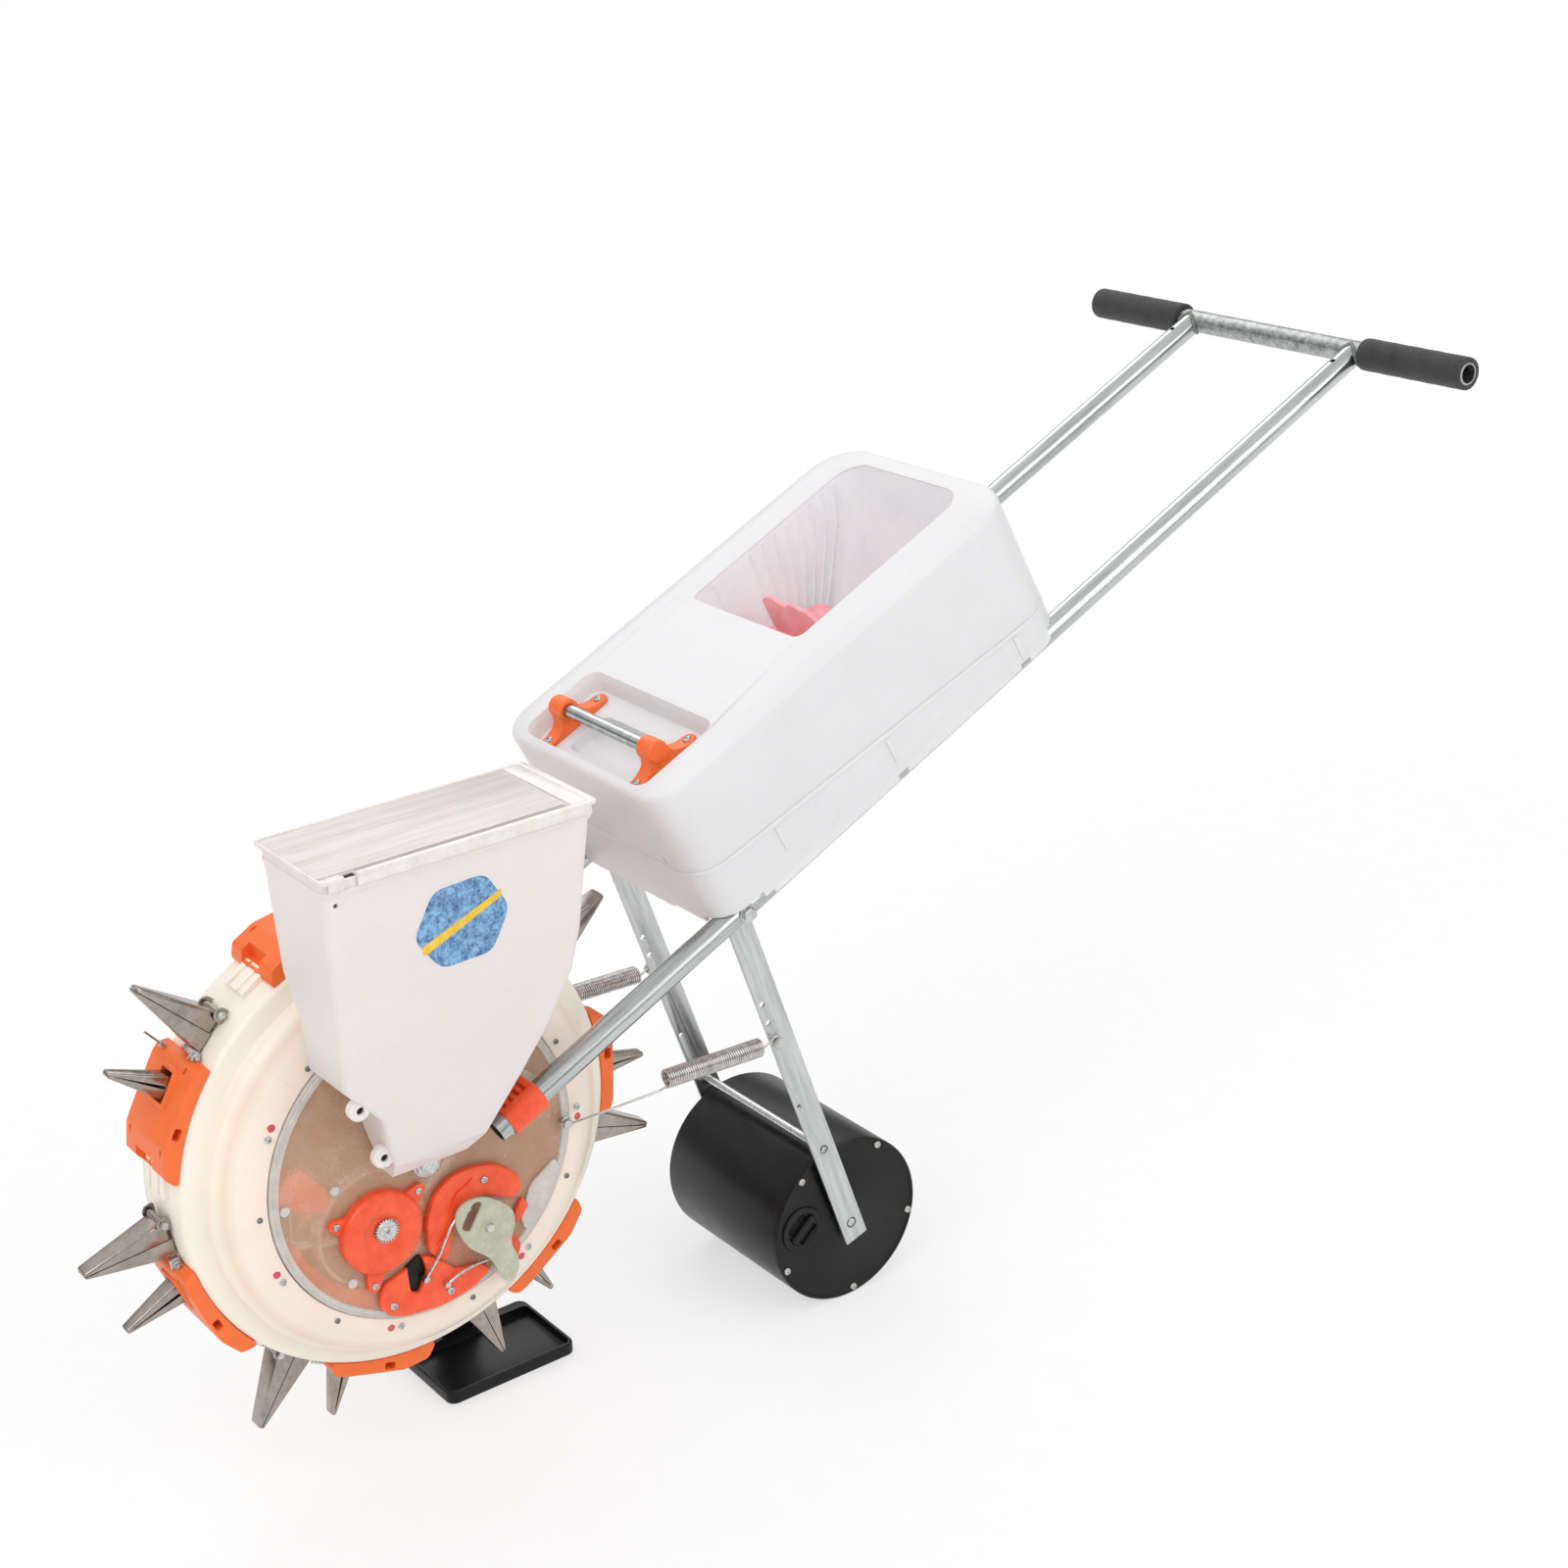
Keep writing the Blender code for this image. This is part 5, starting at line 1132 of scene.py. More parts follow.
class SEEDER_OT_handle_frame(Piece, bpy.types.Operator):
    """The two handle tubes, the cross bar welded to them and the foam grips"""
    bl_idname = "seeder.handle_frame"
    bl_label = "Handle frame"

    def make(self):
        radius = sizes().tube_radius / MM
        wall = 1.4
        for name, side in (("left", 1), ("right", -1)):
            tube = turned("tube", [(radius - wall, -6), (radius - 0.3, -6), (radius, -5.6),
                                   (radius, 1117), (radius - wall, 1117)], 40)
            placed(tube, TUBES @ move(side * TUBE_X, 0, 0) @ turn_x(-90))
            joint = TUBES @ move(side * TUBE_X, BAR_ALONG, 0)
            cope = bore(radius + 0.3, -60, 60, joint @ ROUND_X, 40)
            hole = bore(2.6, 0, 20, TUBES @ move(side * TUBE_X, 1090, 0), 16)
            ready(cut(tube, cope, hole), f"{name}_tube_drawn", "frame", "zinc_tube", "tube",
                  f"{name}_tube")
            ready(placed(self.bead(radius), joint), f"{name}_weld_bead", "frame", "zinc_tube",
                  "weld", angle=60)
        self.bar(radius, wall)

    def bead(self, radius):
        """A lumpy bead round the joint, on the saddle line where the two tubes meet."""
        points = []
        for i in range(49):
            angle = math.tau * i / 48
            across, up = radius * math.cos(angle), radius * math.sin(angle)
            points.append((across * 1.04, -math.sqrt(max(radius ** 2 - up ** 2, 0.0)) - 0.6,
                           up * 1.04))
        lumps = bpy.data.textures.new("lumps", "CLOUDS")
        lumps.noise_scale = 2.2 * MM
        return modified(swept("bead", points, 1.7, 3), "DISPLACE", texture=lumps,
                        strength=0.9 * MM, mid_level=0.5)

    def bar(self, radius, wall):
        half = 248.5
        place = TUBES @ move(0, BAR_ALONG, 0) @ ROUND_X
        bar = turned("bar", [(radius - wall - 0.8, -half), (radius - 0.4, -half),
                             (radius, -half + 0.4), (radius, half - 0.4), (radius - 0.4, half),
                             (radius - wall - 0.8, half)], 40)
        ready(placed(bar, place), "cross_bar_spangled", "frame", "zinc_tube", "bar", "cross_bar")
        length = sizes().grip_length / MM
        for name, side in (("left", 1), ("right", -1)):
            profile = [(radius + 0.3, 0), (14.2, 0), (15.3, 0.5), (15.6, 1.8)]
            profile += [(15.6 + 0.12 * math.sin(i * 1.9), 1.8 + (length - 3.6) * i / 16)
                        for i in range(1, 16)]
            profile += [(15.6, length - 1.8), (15.2, length - 0.4), (14.2, length),
                        (radius + 0.3, length)]
            grip = turned("grip", profile, 48)
            turn = ROUND_X if side > 0 else ROUND_X @ turn_x(180)
            placed(grip, TUBES @ move(side * (half - length), BAR_ALONG, 0) @ turn)
            ready(grip, f"{name}_foam_grip", "frame", "foam", "foam", f"{name}_grip", angle=50)


# The hopper's two curled lugs, from the axle
HOPPER_LUGS = ((129, -81, 101.5), (110, -56, 42))


class SEEDER_OT_seed_hopper(Piece, bpy.types.Operator):
    """The tapering milky hopper with its curled lugs, and the frosted lid in its rim"""
    bl_idname = "seeder.seed_hopper"
    bl_label = "Seed hopper"

    def levels(self, inset, above, below):
        outline = [(310 + above, 58, 166, -104, 137), (204, 60, 162, -100, 121),
                   (168, 80, 156, -99, 113), (124, 80, 147, -96, 93), (84, 80, 136, -62, 70),
                   (12.5 + below, 80, 116, -43, 26)]
        return [(z, x0 + inset, x1 - inset, y0 + inset, y1 - inset)
                for z, x0, x1, y0, y1 in outline]

    def make(self):
        hopper = tapering("hopper", self.levels(0, 0, 0), 11)
        collar = plate("collar", rounded_rectangle(57, 167, -105, 138, 12), 299, 302.6)
        lugs = []
        for x, y, z in HOPPER_LUGS:
            lugs.append(placed(rod("lug", 9.5, 0, 9, 1.6, 32), facing(x, y, z, Matrix())))
            lugs.append(block("neck", (x, y, z - 4), (x + 8, y + 16, z + 8)))
        spout = block("spout", (76.3, -40.5, 13.5), (84, -13.5, 36.5))
        cut(hopper, collar, *lugs, spout, operation="UNION")
        cut(hopper, self.chamfer(0))
        cut(hopper, cut(tapering("inside", self.levels(2.5, 12, 2.5), 9), self.chamfer(2.5)),
            block("outlet", (60, -38, 16), (88, -16, 34)),
            *[bore(3.4, -4, 40, facing(*lug, Matrix())) for lug in HOPPER_LUGS],
            bore(2, -20, 40, facing(150, -94, 291, Matrix())))
        rounded(hopper, 0.9, 2, 50)
        ready(placed(hopper, AXLE), "seed_hopper_moulded", "frame", "milky", "hopper",
              "seed_hopper", angle=40)
        for number, (x, y, z) in enumerate(HOPPER_LUGS, 1):
            eye = turned("eye", [(0, 0.6), (2.9, 0.6), (3.3, 0), (3.3, -1), (0, -1)], 20)
            ready(placed(eye, facing(x + 6, y, z)), f"hopper_lug_bolt_{number}", "frame", "black",
                  "black")
        self.lid()
        self.sticker()

    def chamfer(self, rise):
        """What is cut away under the near side of the hopper's foot, over the axle's nut."""
        return placed(block("chamfer", (-30, -90, -60), (90, 70, rise)),
                      move(102, 0, 12) @ turn_y(-48))

    def lid(self):
        """A light rim, a brushed panel let into it, a rear strip and a notch for the fingers."""
        rim = plate("rim", rounded_rectangle(55.2, 168.8, -106, 139, 4), 310.5, 313.8)
        for x in (55.2, 166.6):
            cut(rim, block("lip", (x, -100, 303.4), (x + 2.2, 133, 311)), operation="UNION")
        cut(rim, plate("seat", rounded_rectangle(57.4, 164, -103.8, 133, 3), 312.4, 320),
            block("notch", (159, -86, 300), (175, -75, 320)))
        ready(placed(rounded(rim, 0.7, 2), AXLE), "lid_rim", "lid", "lid", "lid_rim",
              "hopper_lid")
        panel = plate("panel", rounded_rectangle(57.8, 158, -103.4, 115.5, 2), 312.5, 313.5)
        ready(placed(rounded(panel, 0.3, 2), AXLE), "lid_panel", "lid", "lid", "lid")
        strip = plate("strip", rounded_rectangle(57.8, 163.6, 117.4, 132.6, 1.5), 312.5, 313.9)
        ready(placed(rounded(strip, 0.5, 2), AXLE), "lid_strip", "lid", "lid", "lid_rim")
        # A thin grey sheet in the channel, painted shade
        channel = plate("channel", rounded_rectangle(159.2, 163.6, -74, 115.5, 1.2), 312.5, 312.9)
        ready(placed(channel, AXLE), "lid_channel", "lid", "lid", "shade")

    def sticker(self):
        """A plain decorative label: a soft blue hexagon with one slanting yellow band."""
        # The hopper's side leans out by 3.5 mm in 96
        lean = math.degrees(math.atan2(3.5, 96))
        place = AXLE @ move(163.55, 12, 242) @ turn_y(lean) @ SIDE
        outline = softened([(-44, 0), (-24, 36), (22, 38), (42, 4), (24, -30), (-22, -31)], 9, 5)
        label = placed(plate("label", outline, -0.2, 0.15), place)
        ready(label, "hopper_label", "frame", "milky", "label")
        band = plate("band", softened([(-36, -16), (34, 14), (36, 21), (-38, -8)], 2), 0.1, 0.3)
        ready(placed(band, place), "hopper_label_band", "frame", "milky", "yellow")


class SEEDER_OT_clamps(Piece, bpy.types.Operator):
    """The ribbed orange sleeves that hold the tubes' lower ends"""
    bl_idname = "seeder.clamps"
    bl_label = "Tube clamps"

    def make(self):
        barrel = turned("barrel", [(12.5, 42), (13.4, 41.6), (14.5, 40.2), (14.5, 6.8),
                                   (13.4, 5.4), (12.5, 5), (11.3, 5), (11.3, 42)], 56)
        tube = TUBES @ move(TUBE_X, 0, 0) @ turn_x(-90)
        placed(barrel, tube)
        saddle = placed(rounded(block("saddle", (92.8, 5.6, -10), (110, 41.4, 14.8)), 2, 3), TUBES)
        cut(barrel, saddle, operation="UNION")
        cut(barrel, bore(11.25, -20, 80, tube, 56))
        grooves = [placed(rounded(block("groove", (80, start, 11), (112, start + 3.8, 30)),
                                  0.8, 2), TUBES) for start in (9.4, 16.6, 23.8, 31)]
        grooves += [placed(block("mark", (104, start, -15), (112, start + 2.2, -13.2)), TUBES)
                    for start in (12, 20, 28)]
        cut(barrel, joined(*grooves))
        rounded(barrel, 0.5, 2, 50)
        ready(copied(barrel, "right", MIRROR), "right_clamp_moulded", "frame", "orange", "ember",
              "right_clamp")
        ready(barrel, "left_clamp_moulded", "frame", "orange", "ember", "left_clamp")
        screws("clamp_screws", "frame", 3, [side @ TUBES @ move(101.5, u, -10) @ turn_x(180)
                                            for _, side in SIDES for u in (14, 33)])


# The box in the tubes' frame: along the tubes, from the middle and up from the tubes
BOX_FRONT = 252
BOX_REAR = 692
BOX_MIDDLE = (BOX_FRONT + BOX_REAR) / 2
BOX_HALF = 127
BOX_CORNERS = (32, 44)
SPLIT = TUBES @ move(0, BOX_MIDDLE, 51) @ turn_x(-4)
HANDLE_ALONG = 296
HANDLE_UP = 160.5
AGITATOR_ALONG = 510


def box_outline(inset):
    half = BOX_HALF - inset
    front, rear = (corner - inset for corner in BOX_CORNERS)
    return rounded_rectangle(-half, half, BOX_FRONT + inset, BOX_REAR - inset, front, rear, 10)


class SEEDER_OT_fertiliser_box(Piece, bpy.types.Operator):
    """The blow-moulded box: lower tub, upper shell, filling mouth with its ribbed basin"""
    bl_idname = "seeder.fertiliser_box"
    bl_label = "Fertiliser box"

    def make(self):
        self.tub()
        self.shell()
        self.basin()

    def tub(self):
        tub = plate("tub", box_outline(0), 1, 110)
        carve(tub, plate("inside", box_outline(3), 14.3, 140),
              plate("underside", box_outline(3), -20, 11.3))
        placed(tub, TUBES)
        carve(tub, placed(block("above", (-300, -300, 0), (300, 300, 300)), SPLIT))
        lip = plate("lip", box_outline(-1.1), -5, -0.6)
        carve(lip, plate("hollow", box_outline(1), -9, 9))
        lip = rounded(placed(lip, SPLIT @ move(0, -BOX_MIDDLE, 0)), 0.8, 2)
        # Notches over the tubes and the pivot bolts
        for side in (1, -1):
            notches = (block("notch", (side * TUBE_X - 12.4, 230, -20),
                             (side * TUBE_X + 12.4, 720, 11.3)),
                       block("notch", (side * 126 - 6, 230, -20), (side * 126 + 6, 300, 10.8)))
            carve(tub, *[placed(notch, TUBES) for notch in notches])
        # The bottom edge steps up at the front corner and in two short gaps along the side
        for low, high in (((45, 240, -9), (135, 310, 5)), ((101, 465, -9), (191, 477, 6.2)),
                          ((101, 625, -9), (191, 637, 5.4))):
            carve(tub, placed(block("step", low, high), TUBES))
        rounded(tub, 1.1, 2, 50)
        out = BOX_HALF + 0.4
        ribs = [rounded(block("rib", (side * out - 1.3, along - 2.6, low),
                              (side * out + 1.3, along + 2.6, low + 26)), 1, 2)
                for side in (1, -1) for along, low in ((339, 27), (471, 19), (631, 8))]
        joined(tub, placed(joined(*ribs), TUBES), lip, self.chute())
        ready(tub, "box_tub_moulded", "frame", "milky", "milky", "box_tub")

    def chute(self):
        """The feed tube from the tub's front down to the right side plate."""
        start = TUBES @ Vector((-0.104, 0.2535, 0.0333))
        face = AXLE @ Vector((-0.0763, 0.080, 0.080))
        path = [start, face + Vector((-0.025, 0.016, 0.007)), face + Vector((-0.013, 0, 0)), face]
        return swept("chute", [point / MM for point in path], 13.8, 5)

    def shell(self):
        levels = [(z, inset - BOX_HALF, BOX_HALF - inset, BOX_FRONT + inset, BOX_REAR - inset)
                  for z, inset in ((1, 0), (151.6, 0), (155.6, 15))]
        shell = tapering("shell", levels, *BOX_CORNERS, 10)
        carve(shell, plate("inside", box_outline(3), -50, 148))
        pick(shell, "EDGE", lambda place, edge: place.z > 151 and
             abs(edge.verts[0].co.z - edge.verts[1].co.z) < 0.1 * MM)
        bpy.ops.mesh.bevel(offset=4.5 * MM, segments=4)
        tidy(shell)
        hollows = ((92, BOX_FRONT + 11, BOX_FRONT + 91, 140),
                   (50, HANDLE_ALONG - 24, HANDLE_ALONG + 24, 130))
        for half, front, rear, floor in hollows:
            outline = rounded_rectangle(-half - 3, half + 3, front - 3, rear + 3, 15)
            carve(shell, plate("pan", outline, floor - 3, 150), operation="UNION")
        for half, front, rear, floor in hollows:
            carve(shell, tapering("space", [(180, -half - 9, half + 9, front - 7, rear + 14),
                                            (158, -half - 4.5, half + 4.5, front - 3.5, rear + 7),
                                            (148, -half, half, front, rear),
                                            (floor, -half + 2, half - 2, front + 2, rear - 2)],
                                  14))
        carve(shell, plate("mouth", rounded_rectangle(-81, 81, BOX_FRONT + 207, BOX_FRONT + 419,
                                                      10, 26, 10), 120, 180))
        placed(shell, TUBES)
        dent = rounded(block("dent", (80, -6, 2), (84, 4, 10)), 1, 2)
        carve(shell, placed(block("below", (-300, -300, -300), (300, 300, 0.3)), SPLIT),
              placed(dent, SPLIT @ move(0, BOX_FRONT - BOX_MIDDLE, 0)))
        rounded(shell, 1.3, 3, 60)
        ready(shell, "box_shell_moulded", "frame", "milky", "milky", "box_shell")

    def basin(self):
        """The ribbed funnel below the mouth, open at the bottom over the agitator."""
        levels = [(153.9, 83, 457, 673), (120, 77, 456.5, 652), (45, 62, 456, 577)]
        outer = tapering("basin", [(z, -x, x, y0, y1) for z, x, y0, y1 in levels], 12, 27)
        inner = [(z, x - 2.2, y0 + 2.2, y1 - 2.2) for z, x, y0, y1 in levels]
        hollow = ((164, 82.6, 459.4, 677), (120, 74.8, 458.7, 649.8), (38, 58.4, 458.2, 567.8))
        cut(outer, tapering("hollow", [(z, -x, x, y0, y1) for z, x, y0, y1 in hollow], 10, 25))
        ribs = []
        for i in range(1, 12):
            share = i / 12
            for side in (1, -1):
                path = [(side * (x - 0.4), y0 + 10 + (y1 - y0 - 24) * share, z - 3)
                        for z, x, y0, y1 in inner]
                # None where the agitator's shaft comes through
                if abs(path[1][1] - AGITATOR_ALONG) > 14:
                    ribs.append(swept("rib", path, 1.6, 1))
            path = [((x - 8) * (2 * share - 1), y1 - 0.3, z - 3) for z, x, y0, y1 in inner]
            ribs.append(swept("rib", path, 1.6, 1))
        ready(placed(joined(outer, *ribs), TUBES), "box_basin", "frame", "milky", "basin")


class SEEDER_OT_agitator(Piece, bpy.types.Operator):
    """The red agitator: four scooped paddles on a shaft across the box"""
    bl_idname = "seeder.agitator"
    bl_label = "Agitator"

    def make(self):
        shaft = rod("shaft", 5, -123, 123, 0.8, 32)
        hub = rod("hub", 8.5, -50, 28, 1.2, 32)
        outline = softened([(-52, 6), (-52, 44), (-38, 50), (-14, 44), (-10, 49.5), (18, 47),
                            (30, 38), (30, 6)], 6)
        # Stands the paddle up along the shaft, with X and Z exchanged
        upright = Matrix(((0, 0, 1, 0), (0, 1, 0, 0), (1, 0, 0, 0), (0, 0, 0, 1)))
        paddles = []
        for turn in range(4):
            paddle = rounded(placed(plate("paddle", outline, -2.2, 2.2), upright), 0.9, 2)
            paddles.append(placed(paddle, turn_z(turn * 90)))
        placed(joined(shaft, hub, *paddles), facing(0, AGITATOR_ALONG, 80, TUBES))
        ready(shaft, "agitator_moulded", "agitator", "red", "rose", "agitator")


class SEEDER_OT_carry_handle(Piece, bpy.types.Operator):
    """The carry tube, open at its ends, in two orange saddles with lobed feet"""
    bl_idname = "seeder.carry_handle"
    bl_label = "Carry handle"

    def make(self):
        place = facing(0, HANDLE_ALONG, HANDLE_UP, TUBES)
        tube = turned("tube", [(5.2, -74), (6, -74), (6.2, -73.7), (6.2, 73.7), (6, 74),
                               (5.2, 74)], 32)
        ready(placed(tube, place), "carry_tube_drawn", "frame", "zinc_tube", "tube", "carry_tube")
        for name, side in SIDES:
            outline = [(-33, 140.3), (-33, 143.6), (-22, 145), (-13, 149), (-10, 156), (-9.5, 165),
                       (-5, 169.6), (4, 170), (9, 166), (10.5, 158), (14, 150), (24, 145.5),
                       (36, 143.8), (36, 140.3)]
            saddle = placed(plate("saddle", softened(outline, 4, 3), 62, 78),
                            move(0, HANDLE_ALONG, 0) @ SIDE)
            rounded(saddle, 2.2, 3, 40)
            across = facing(0, HANDLE_ALONG, HANDLE_UP, Matrix())
            boss = placed(rod("boss", 10.4, 60, 80, 1.4, 40), across)
            lobes = [placed(rod("lobe", 8.2, 0, 4.4, 1, 32), move(x, HANDLE_ALONG + y, 140.3))
                     for x, y in ((70, -27), (70, 32))]
            cut(saddle, boss, *lobes, operation="UNION")
            cut(saddle, bore(6.5, 40, 74.5, across, 32))
            placed(saddle, side @ TUBES)
            ready(saddle, f"{name}_saddle_moulded", "frame", "orange", "orange",
                  f"{name}_saddle")
            screws(f"{name}_saddle_screws", "frame", 4,
                   [side @ TUBES @ move(70, HANDLE_ALONG + y, 144.6) for y in (-27, 32)])


ARM_X = 95.2
# How far the cross rod lies above the roller's axle
ROD_UP = 93
SPRING_BOLT = ARMS @ move(0, -8.1, -149.1)


class SEEDER_OT_roller_arms(Piece, bpy.types.Operator):
    """The two flat zinc arms with their holes, bolts and nuts, and the cross rod"""
    bl_idname = "seeder.roller_arms"
    bl_label = "Roller arms"

    def make(self):
        length = ARM_DROP.length
        for name, side in SIDES:
            outline = softened([(-12.5, 7), (12.5, 7), (12.5, -length - 20),
                                (-12.5, -length - 20)], 1.6, 3)
            arm = placed(plate("arm", outline, ARM_X - 1.5, ARM_X + 1.5), ARMS @ SIDE)
            holes = [bore(radius, 60, 130, facing(0, y, z))
                     for y, z, radius in ((336, 40, 3), (342, 20, 3), (371, -75, 2.6))]
            holes += [bore(radius, 60, 130, facing(0, 0, down, ARMS))
                      for down, radius in ((-length, 5.4), (ROD_UP - length, 4.6))]
            cut(arm, *holes)
            rounded(arm, 0.5, 2, 50)
            bolts = joined(*self.bolts())
            placed(joined(arm, bolts), side)
            ready(arm, f"{name}_arm_strip", "arms", "zinc_strip", "strip", f"{name}_arm")
        self.rods(length)

    def bolts(self):
        """The pivot bolt through the tube, the spring's bolt with its nut, and spacers."""
        pivot = [rod("spacer", 8, ARM_X + 1.4, TUBE_X - 11.2, 0.2), rod("pin", 4, ARM_X, 122),
                 nut("nut", 12, 120.8, 126), turned("washer", [(3, 121.2), (8.5, 121.2),
                                                               (8.8, 120.6), (3, 120.6)], 32)]
        pivot.append(placed(nut("head", 12, 0, 3), move(0, 0, ARM_X - 1.6) @ turn_x(180)))
        pivot = [placed(part, PIVOT @ ROUND_X) for part in pivot]
        stud = [rod("stud", 3, ARM_X, ARM_X + 12.5), nut("nut", 9.5, ARM_X + 8.4, ARM_X + 12),
                nut("nut", 9.5, ARM_X + 1.5, ARM_X + 4)]
        return pivot + [placed(part, SPRING_BOLT @ ROUND_X) for part in stud]

    def rods(self, length):
        """The roller's axle and the thin cross rod, with collars inside and nuts outside."""
        inner, outer = ARM_X - 1.7, ARM_X + 1.5
        rods = (("roller_axle", 6, 9.5, -length), ("cross_rod", 4, 6.8, ROD_UP - length))
        for name, radius, collar, down in rods:
            thread = radius * 0.66
            half = [(0, outer + 0.5), (thread - 0.5, outer + 0.5), (thread, outer), (thread, inner),
                    (radius, inner - 0.3), (radius, 3 - inner), (radius, -inner + 0.3),
                    (thread, -inner), (thread, -outer), (thread - 0.5, -outer - 0.5),
                    (0, -outer - 0.5)]
            parts = [turned("rod", half, 32)]
            cut(parts[0], block("slot", (-thread * 0.7, -0.6, outer - 0.4),
                                (thread * 0.7, 0.6, outer + 9)))
            for side in (1, -1):
                parts.append(turned("collar", [(radius - 0.5, side * inner), (collar, side * inner),
                                               (collar, side * (inner - 3)),
                                               (radius - 0.5, side * (inner - 3))], 32))
            placed(joined(*parts), ARMS @ move(0, 0, down) @ ROUND_X)
            ready(parts[0], f"{name}_turned", "arms", "zinc_strip", "screw", name)


class SEEDER_OT_press_roller(Piece, bpy.types.Operator):
    """The black press roller, its screwed end plate and the filler cap"""
    bl_idname = "seeder.press_roller"
    bl_label = "Press roller"

    def make(self):
        place = ROLLER @ ROUND_X
        drum = turned("drum", [(79.6, 86), (81.2, 86), (82, 85.2), (82.2, 83.6), (82.2, -85.5),
                               (81.2, -88), (79, -89), (60, -89), (58, -87.6), (16, -87.6),
                               (14, -89), (6.4, -89), (6.4, 86), (9.3, 86), (9.3, -84),
                               (79.2, -84)], 128)
        ready(placed(drum, place), "roller_drum_moulded", "roller", "black", "black",
              "roller_drum")
        end = turned("end", [(6.4, 88.4), (13, 88.4), (14.5, 87.9), (78, 87.9), (79, 88.9),
                             (80.6, 89), (82, 88), (82.2, 86.3), (6.4, 86.3)], 128)
        cap_place = self.around(170, 52, 0)
        placed(end, place)
        cut(end, bore(22.9, 60, 110, cap_place, 64))
        ready(end, "roller_end_moulded", "roller", "black", "black", "roller_end")
        cap = turned("cap", [(0, 88.2), (15.4, 88.2), (16.6, 89.6), (18.5, 90), (21.4, 89.9),
                             (22.4, 89), (22.5, 82.5), (0, 82.5)], 64)
        bar = rounded(block("bar", (-3.2, -15.8, 87.6), (3.2, 15.8, 91.6)), 1.6, 3)
        cut(cap, *[rounded(block("slot", (side * 8.2 - 4.4, -11.5, 85.2),
                                 (side * 8.2 + 4.4, 11.5, 99)), 1.6, 2) for side in (1, -1)])
        placed(joined(cap, bar), cap_place @ turn_z(40))
        ready(cap, "filler_cap_moulded", "filler_cap", "black", "black", "filler_cap")
        places = [self.around(turn, 76.5, 88.6) for turn in (58, -14, -86, -158, 130)]
        screws("roller_end_screws", "roller", 3.4, places, "frost")

    def around(self, degrees, radius, x):
        """A place on the roller's end, facing left, at an angle round its axle."""
        angle = math.radians(degrees)
        return facing(x, radius * math.cos(angle), radius * math.sin(angle), ROLLER)


class SEEDER_OT_parking_foot(Piece, bpy.types.Operator):
    """The black foot: a tray with a raised rim on its leg from the axle's far end"""
    bl_idname = "seeder.parking_foot"
    bl_label = "Parking foot"

    def make(self):
        ground = -AXLE.translation.z / MM
        tray = plate("tray", rounded_rectangle(-95, 1, 37, 171, 9), ground, ground + 12)
        rounded(tray, 1.6, 3, 60)
        cut(tray, rounded(plate("hollow", rounded_rectangle(-83, -2.2, 40.2, 167.8, 6),
                                ground + 3, ground + 40), 1.2, 2, 60))
        leg = plate("leg", softened([(-11, 2), (84, ground + 2), (124, ground + 2), (11, 2)], 5),
                    -92, -84)
        leg = rounded(placed(leg, SIDE), 1.6, 2, 50)
        ribs = placed(plate("rib", softened([(2, -24), (92, ground + 14), (112, ground + 14),
                                             (10, -24)], 5), -94, -86), SIDE)
        boss = placed(rod("boss", 17, -92, -84, 1.2, 40), ROUND_X)
        cut(leg, ribs, boss, operation="UNION")
        cut(leg, bore(8.4, -110, -70, ROUND_X))
        ready(placed(joined(tray, leg), AXLE), "parking_foot_moulded", "foot", "black", "black",
              "parking_foot")


class SEEDER_OT_springs(Piece, bpy.types.Operator):
    """The two close-wound tension springs with their long wires and end eyes"""
    bl_idname = "seeder.springs"
    bl_label = "Tension springs"

    def make(self):
        for name, side in SIDES:
            spring = placed(swept("spring", self.path(), 1.1, 2), side)
            ready(spring, f"{name}_spring_wound", "frame", "stainless", "spring",
                  f"{name}_spring", angle=60)

    def path(self):
        """Mirrors the CAD spring: an eye, a long straight wire, the coil and a rear eye."""
        radius, around = 7.7, 14
        stud = facing(83.5, *SPRING_STUD).translation / MM
        bolt = (SPRING_BOLT @ move(ARM_X + 4.5, 0, 0)).translation / MM
        start, end = bolt + Vector((0, -120, 4.5)), bolt + Vector((0, -18, 0.5))
        points = self.eye(stud, -325, 290) + [start + Vector((0, -7, -radius - 1.5))]
        steps = around * sizes().coils
        for i in range(steps + 1):
            turn = math.tau * i / around
            offset = radius * Vector((math.sin(turn), 0, -math.cos(turn)))
            points.append(start.lerp(end, i / steps) + offset)
        return points + [end + Vector((0, 3.5, radius * -0.3))] + self.eye(bolt, 145, -290)

    def eye(self, centre, start, sweep):
        """The wire's open loop round a bolt, from one angle on by another."""
        angles = [math.radians(start + i * sweep / 14) for i in range(15)]
        return [centre + 4.7 * Vector((0, math.cos(a), math.sin(a))) for a in angles]


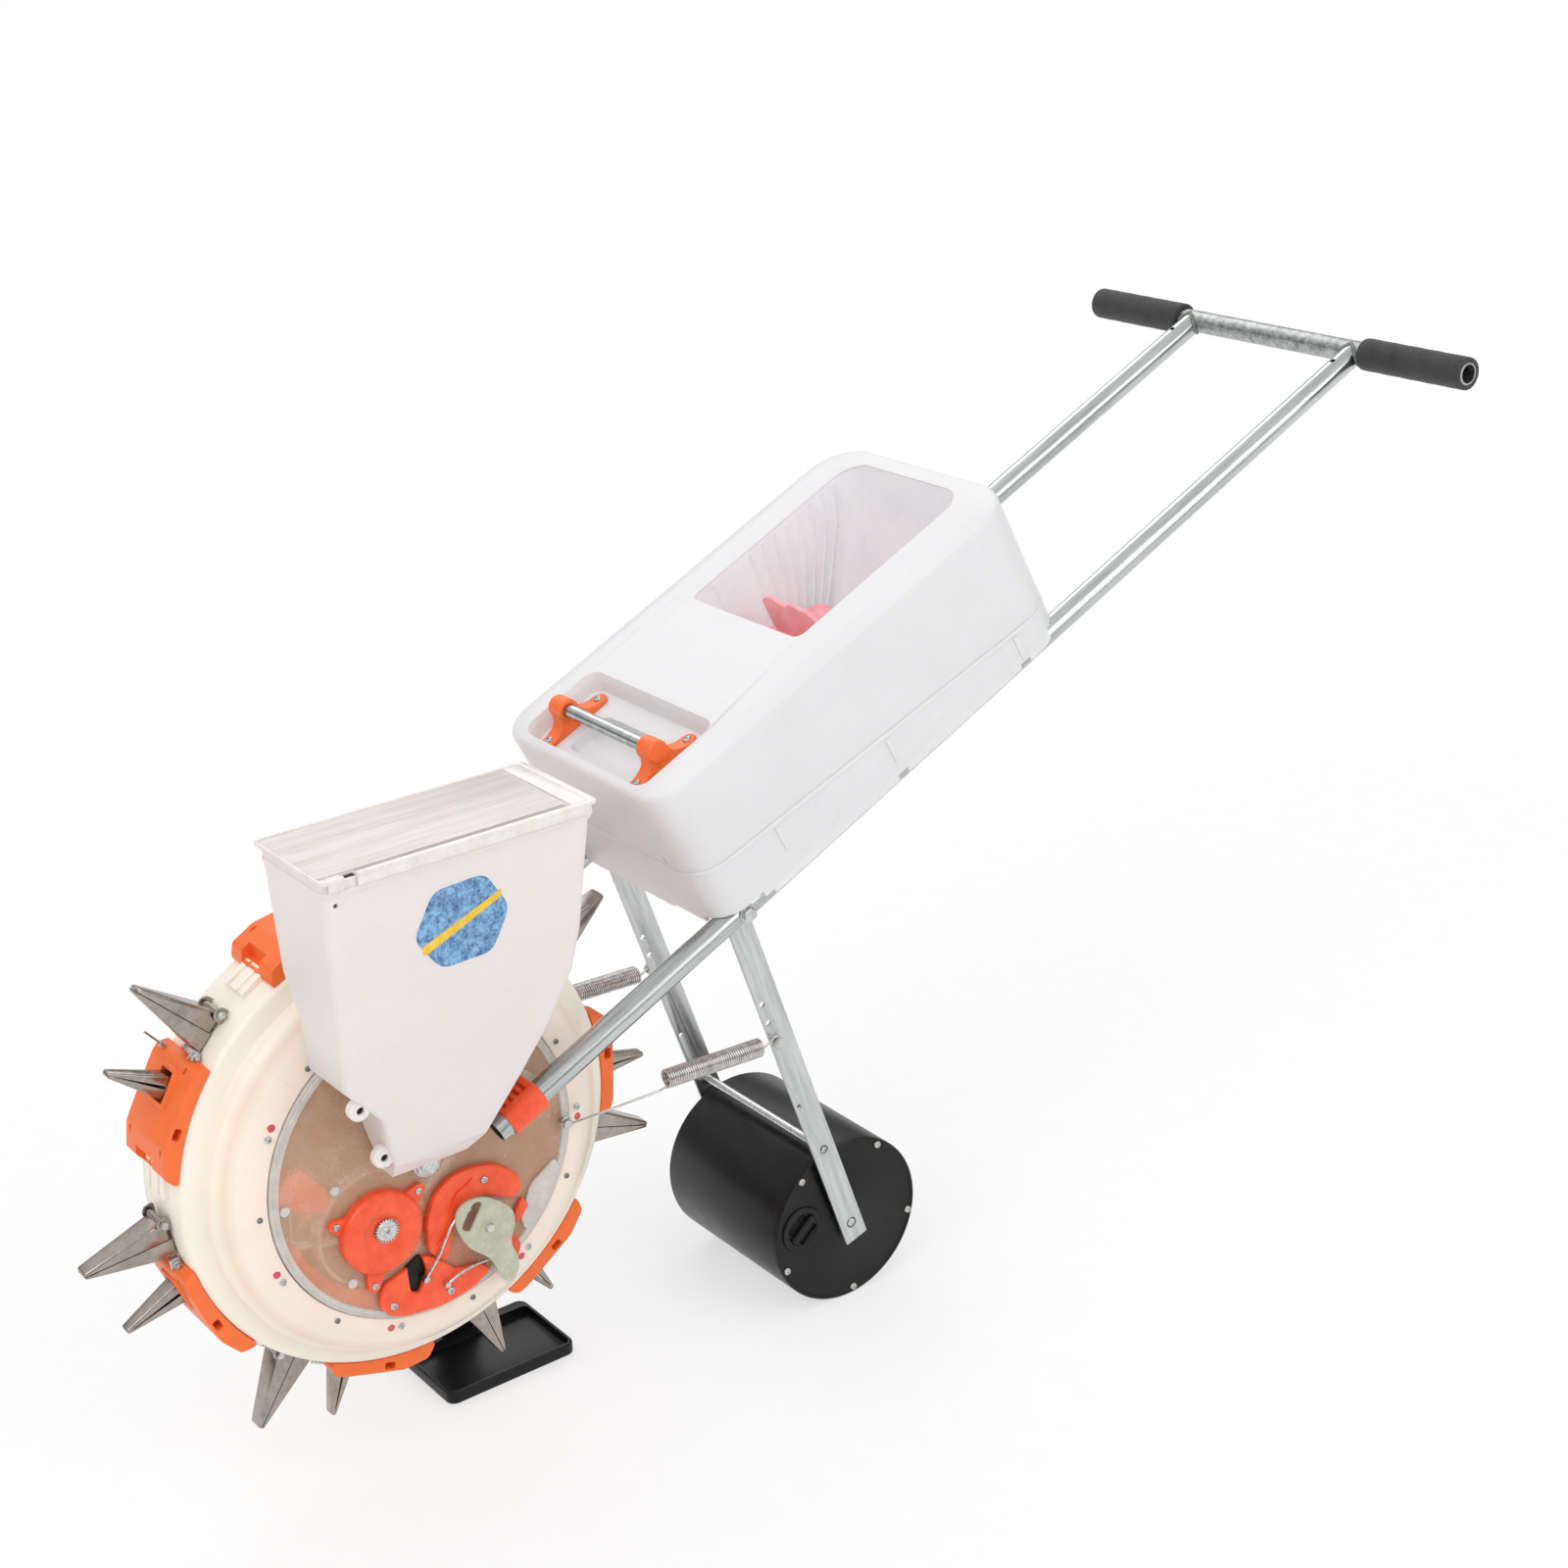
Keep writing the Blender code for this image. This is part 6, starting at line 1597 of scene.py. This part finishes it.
class SEEDER_OT_stage(Piece, bpy.types.Operator):
    """The floor, the soft lights and the camera"""
    bl_idname = "seeder.stage"
    bl_label = "Stage"

    def make(self):
        scene = bpy.context.scene
        only(None)
        bpy.ops.mesh.primitive_circle_add(vertices=96, radius=30, fill_type="NGON")
        floor = bpy.context.object
        floor.name = "floor"
        bpy.ops.object.mode_set(mode="EDIT")
        bpy.ops.transform.translate(value=(0, 0, -0.0005))
        painted(floor, "floor")
        self.lamp("key", (1.2, -2.6, 2.9), 2.6, sizes().lamp_power)
        self.lamp("fill", (2.9, 1.1, 1.8), 2.4, sizes().lamp_power * 0.68)
        self.lamp("back", (-2.4, 1.0, 2.6), 2.4, sizes().lamp_power * 0.5)
        self.sky(scene)
        self.camera(scene)
        scene.view_settings.view_transform = "Standard"

    def lamp(self, name, place, size, power):
        """A round soft lamp that faces the middle of the seeder."""
        data = bpy.data.lights.new(name, "AREA")
        data.shape = "DISK"
        data.size = size
        data.energy = power
        lamp = linked(name, data)
        lamp.location = place
        toward = Vector((0, -0.1, 0.4)) - Vector(place)
        lamp.rotation_euler = toward.to_track_quat("-Z", "Y").to_euler()

    def sky(self, scene):
        world = bpy.data.worlds.new("studio")
        scene.world = world
        world.use_nodes = True
        tree = world.node_tree
        tree.nodes.clear()
        path = add(tree, "LightPath")
        place = add(tree, "TexCoord")
        height = add(tree, "SeparateXYZ", {"Vector": place.outputs["Generated"]})
        # Darker round the horizon, so that bright metal shows soft dark bands
        level = add(tree, "MapRange", {"Value": height.outputs["Z"], "From Min": 0.05,
                                       "From Max": 0.6, "To Min": 0.18, "To Max": 0.92},
                    interpolation_type="SMOOTHSTEP")
        soft = add(tree, "Background", {"Color": (1, 1, 1, 1), "Strength": level})
        white = add(tree, "Background", {"Color": (1, 1, 1, 1), "Strength": 1.0})
        mixed = add(tree, "MixShader", {0: path.outputs["Is Camera Ray"], 1: soft, 2: white})
        add(tree, "OutputWorld", {"Surface": mixed})

    def camera(self, scene):
        """Stands where the photograph was taken from, with its slight roll."""
        azimuth, elevation, roll = (math.radians(a) for a in (35.56, 21.62, -2.888))
        distance = 2.4372
        target = AXLE @ Vector((0, 0.4411, 0.1946))
        back = Vector((math.cos(azimuth) * math.cos(elevation),
                       -math.sin(azimuth) * math.cos(elevation), math.sin(elevation)))
        right = (-back).cross(Vector((0, 0, 1))).normalized()
        up = right.cross(-back)
        level = Matrix((right, up, back)).transposed().to_4x4()
        data = bpy.data.cameras.new("camera")
        data.sensor_width = 36
        data.lens = 61.04
        camera = linked("camera", data)
        camera.matrix_world = (Matrix.Translation(target + back * distance) @ level
                               @ Matrix.Rotation(roll, 4, "Z"))
        scene.camera = camera


class SEEDER_PT_panel(bpy.types.Panel):
    """Lists the seeder's operators, sizes and colours"""
    bl_idname = "SEEDER_PT_panel"
    bl_label = "Hand seeder"
    bl_space_type = "VIEW_3D"
    bl_region_type = "UI"
    bl_category = "Seeder"

    def draw(self, context):
        for operator in OPERATORS:
            self.layout.operator(operator.bl_idname)
        for group in (context.scene.seeder_sizes, context.scene.seeder_colours):
            for key in group.__annotations__:
                self.layout.prop(group, key)


OPERATORS = (
    SEEDER_OT_wheel_drum,
    SEEDER_OT_seed_bills,
    SEEDER_OT_fertiliser_blocks,
    SEEDER_OT_side_plates,
    SEEDER_OT_metering,
    SEEDER_OT_seed_hopper,
    SEEDER_OT_handle_frame,
    SEEDER_OT_clamps,
    SEEDER_OT_fertiliser_box,
    SEEDER_OT_agitator,
    SEEDER_OT_carry_handle,
    SEEDER_OT_roller_arms,
    SEEDER_OT_press_roller,
    SEEDER_OT_parking_foot,
    SEEDER_OT_springs,
    SEEDER_OT_stage,
)
CLASSES = (SeederSizes, SeederColours, *OPERATORS, SEEDER_PT_panel)


def register():
    for item in CLASSES:
        bpy.utils.register_class(item)
    bpy.types.Scene.seeder_sizes = PointerProperty(type=SeederSizes)
    bpy.types.Scene.seeder_colours = PointerProperty(type=SeederColours)


def unregister():
    del bpy.types.Scene.seeder_colours
    del bpy.types.Scene.seeder_sizes
    for item in reversed(CLASSES):
        bpy.utils.unregister_class(item)


def main():
    """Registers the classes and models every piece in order."""
    register()
    make_finishes()
    for operator in OPERATORS:
        group, name = operator.bl_idname.split(".")
        getattr(getattr(bpy.ops, group), name)()


if __name__ == "__main__":
    main()
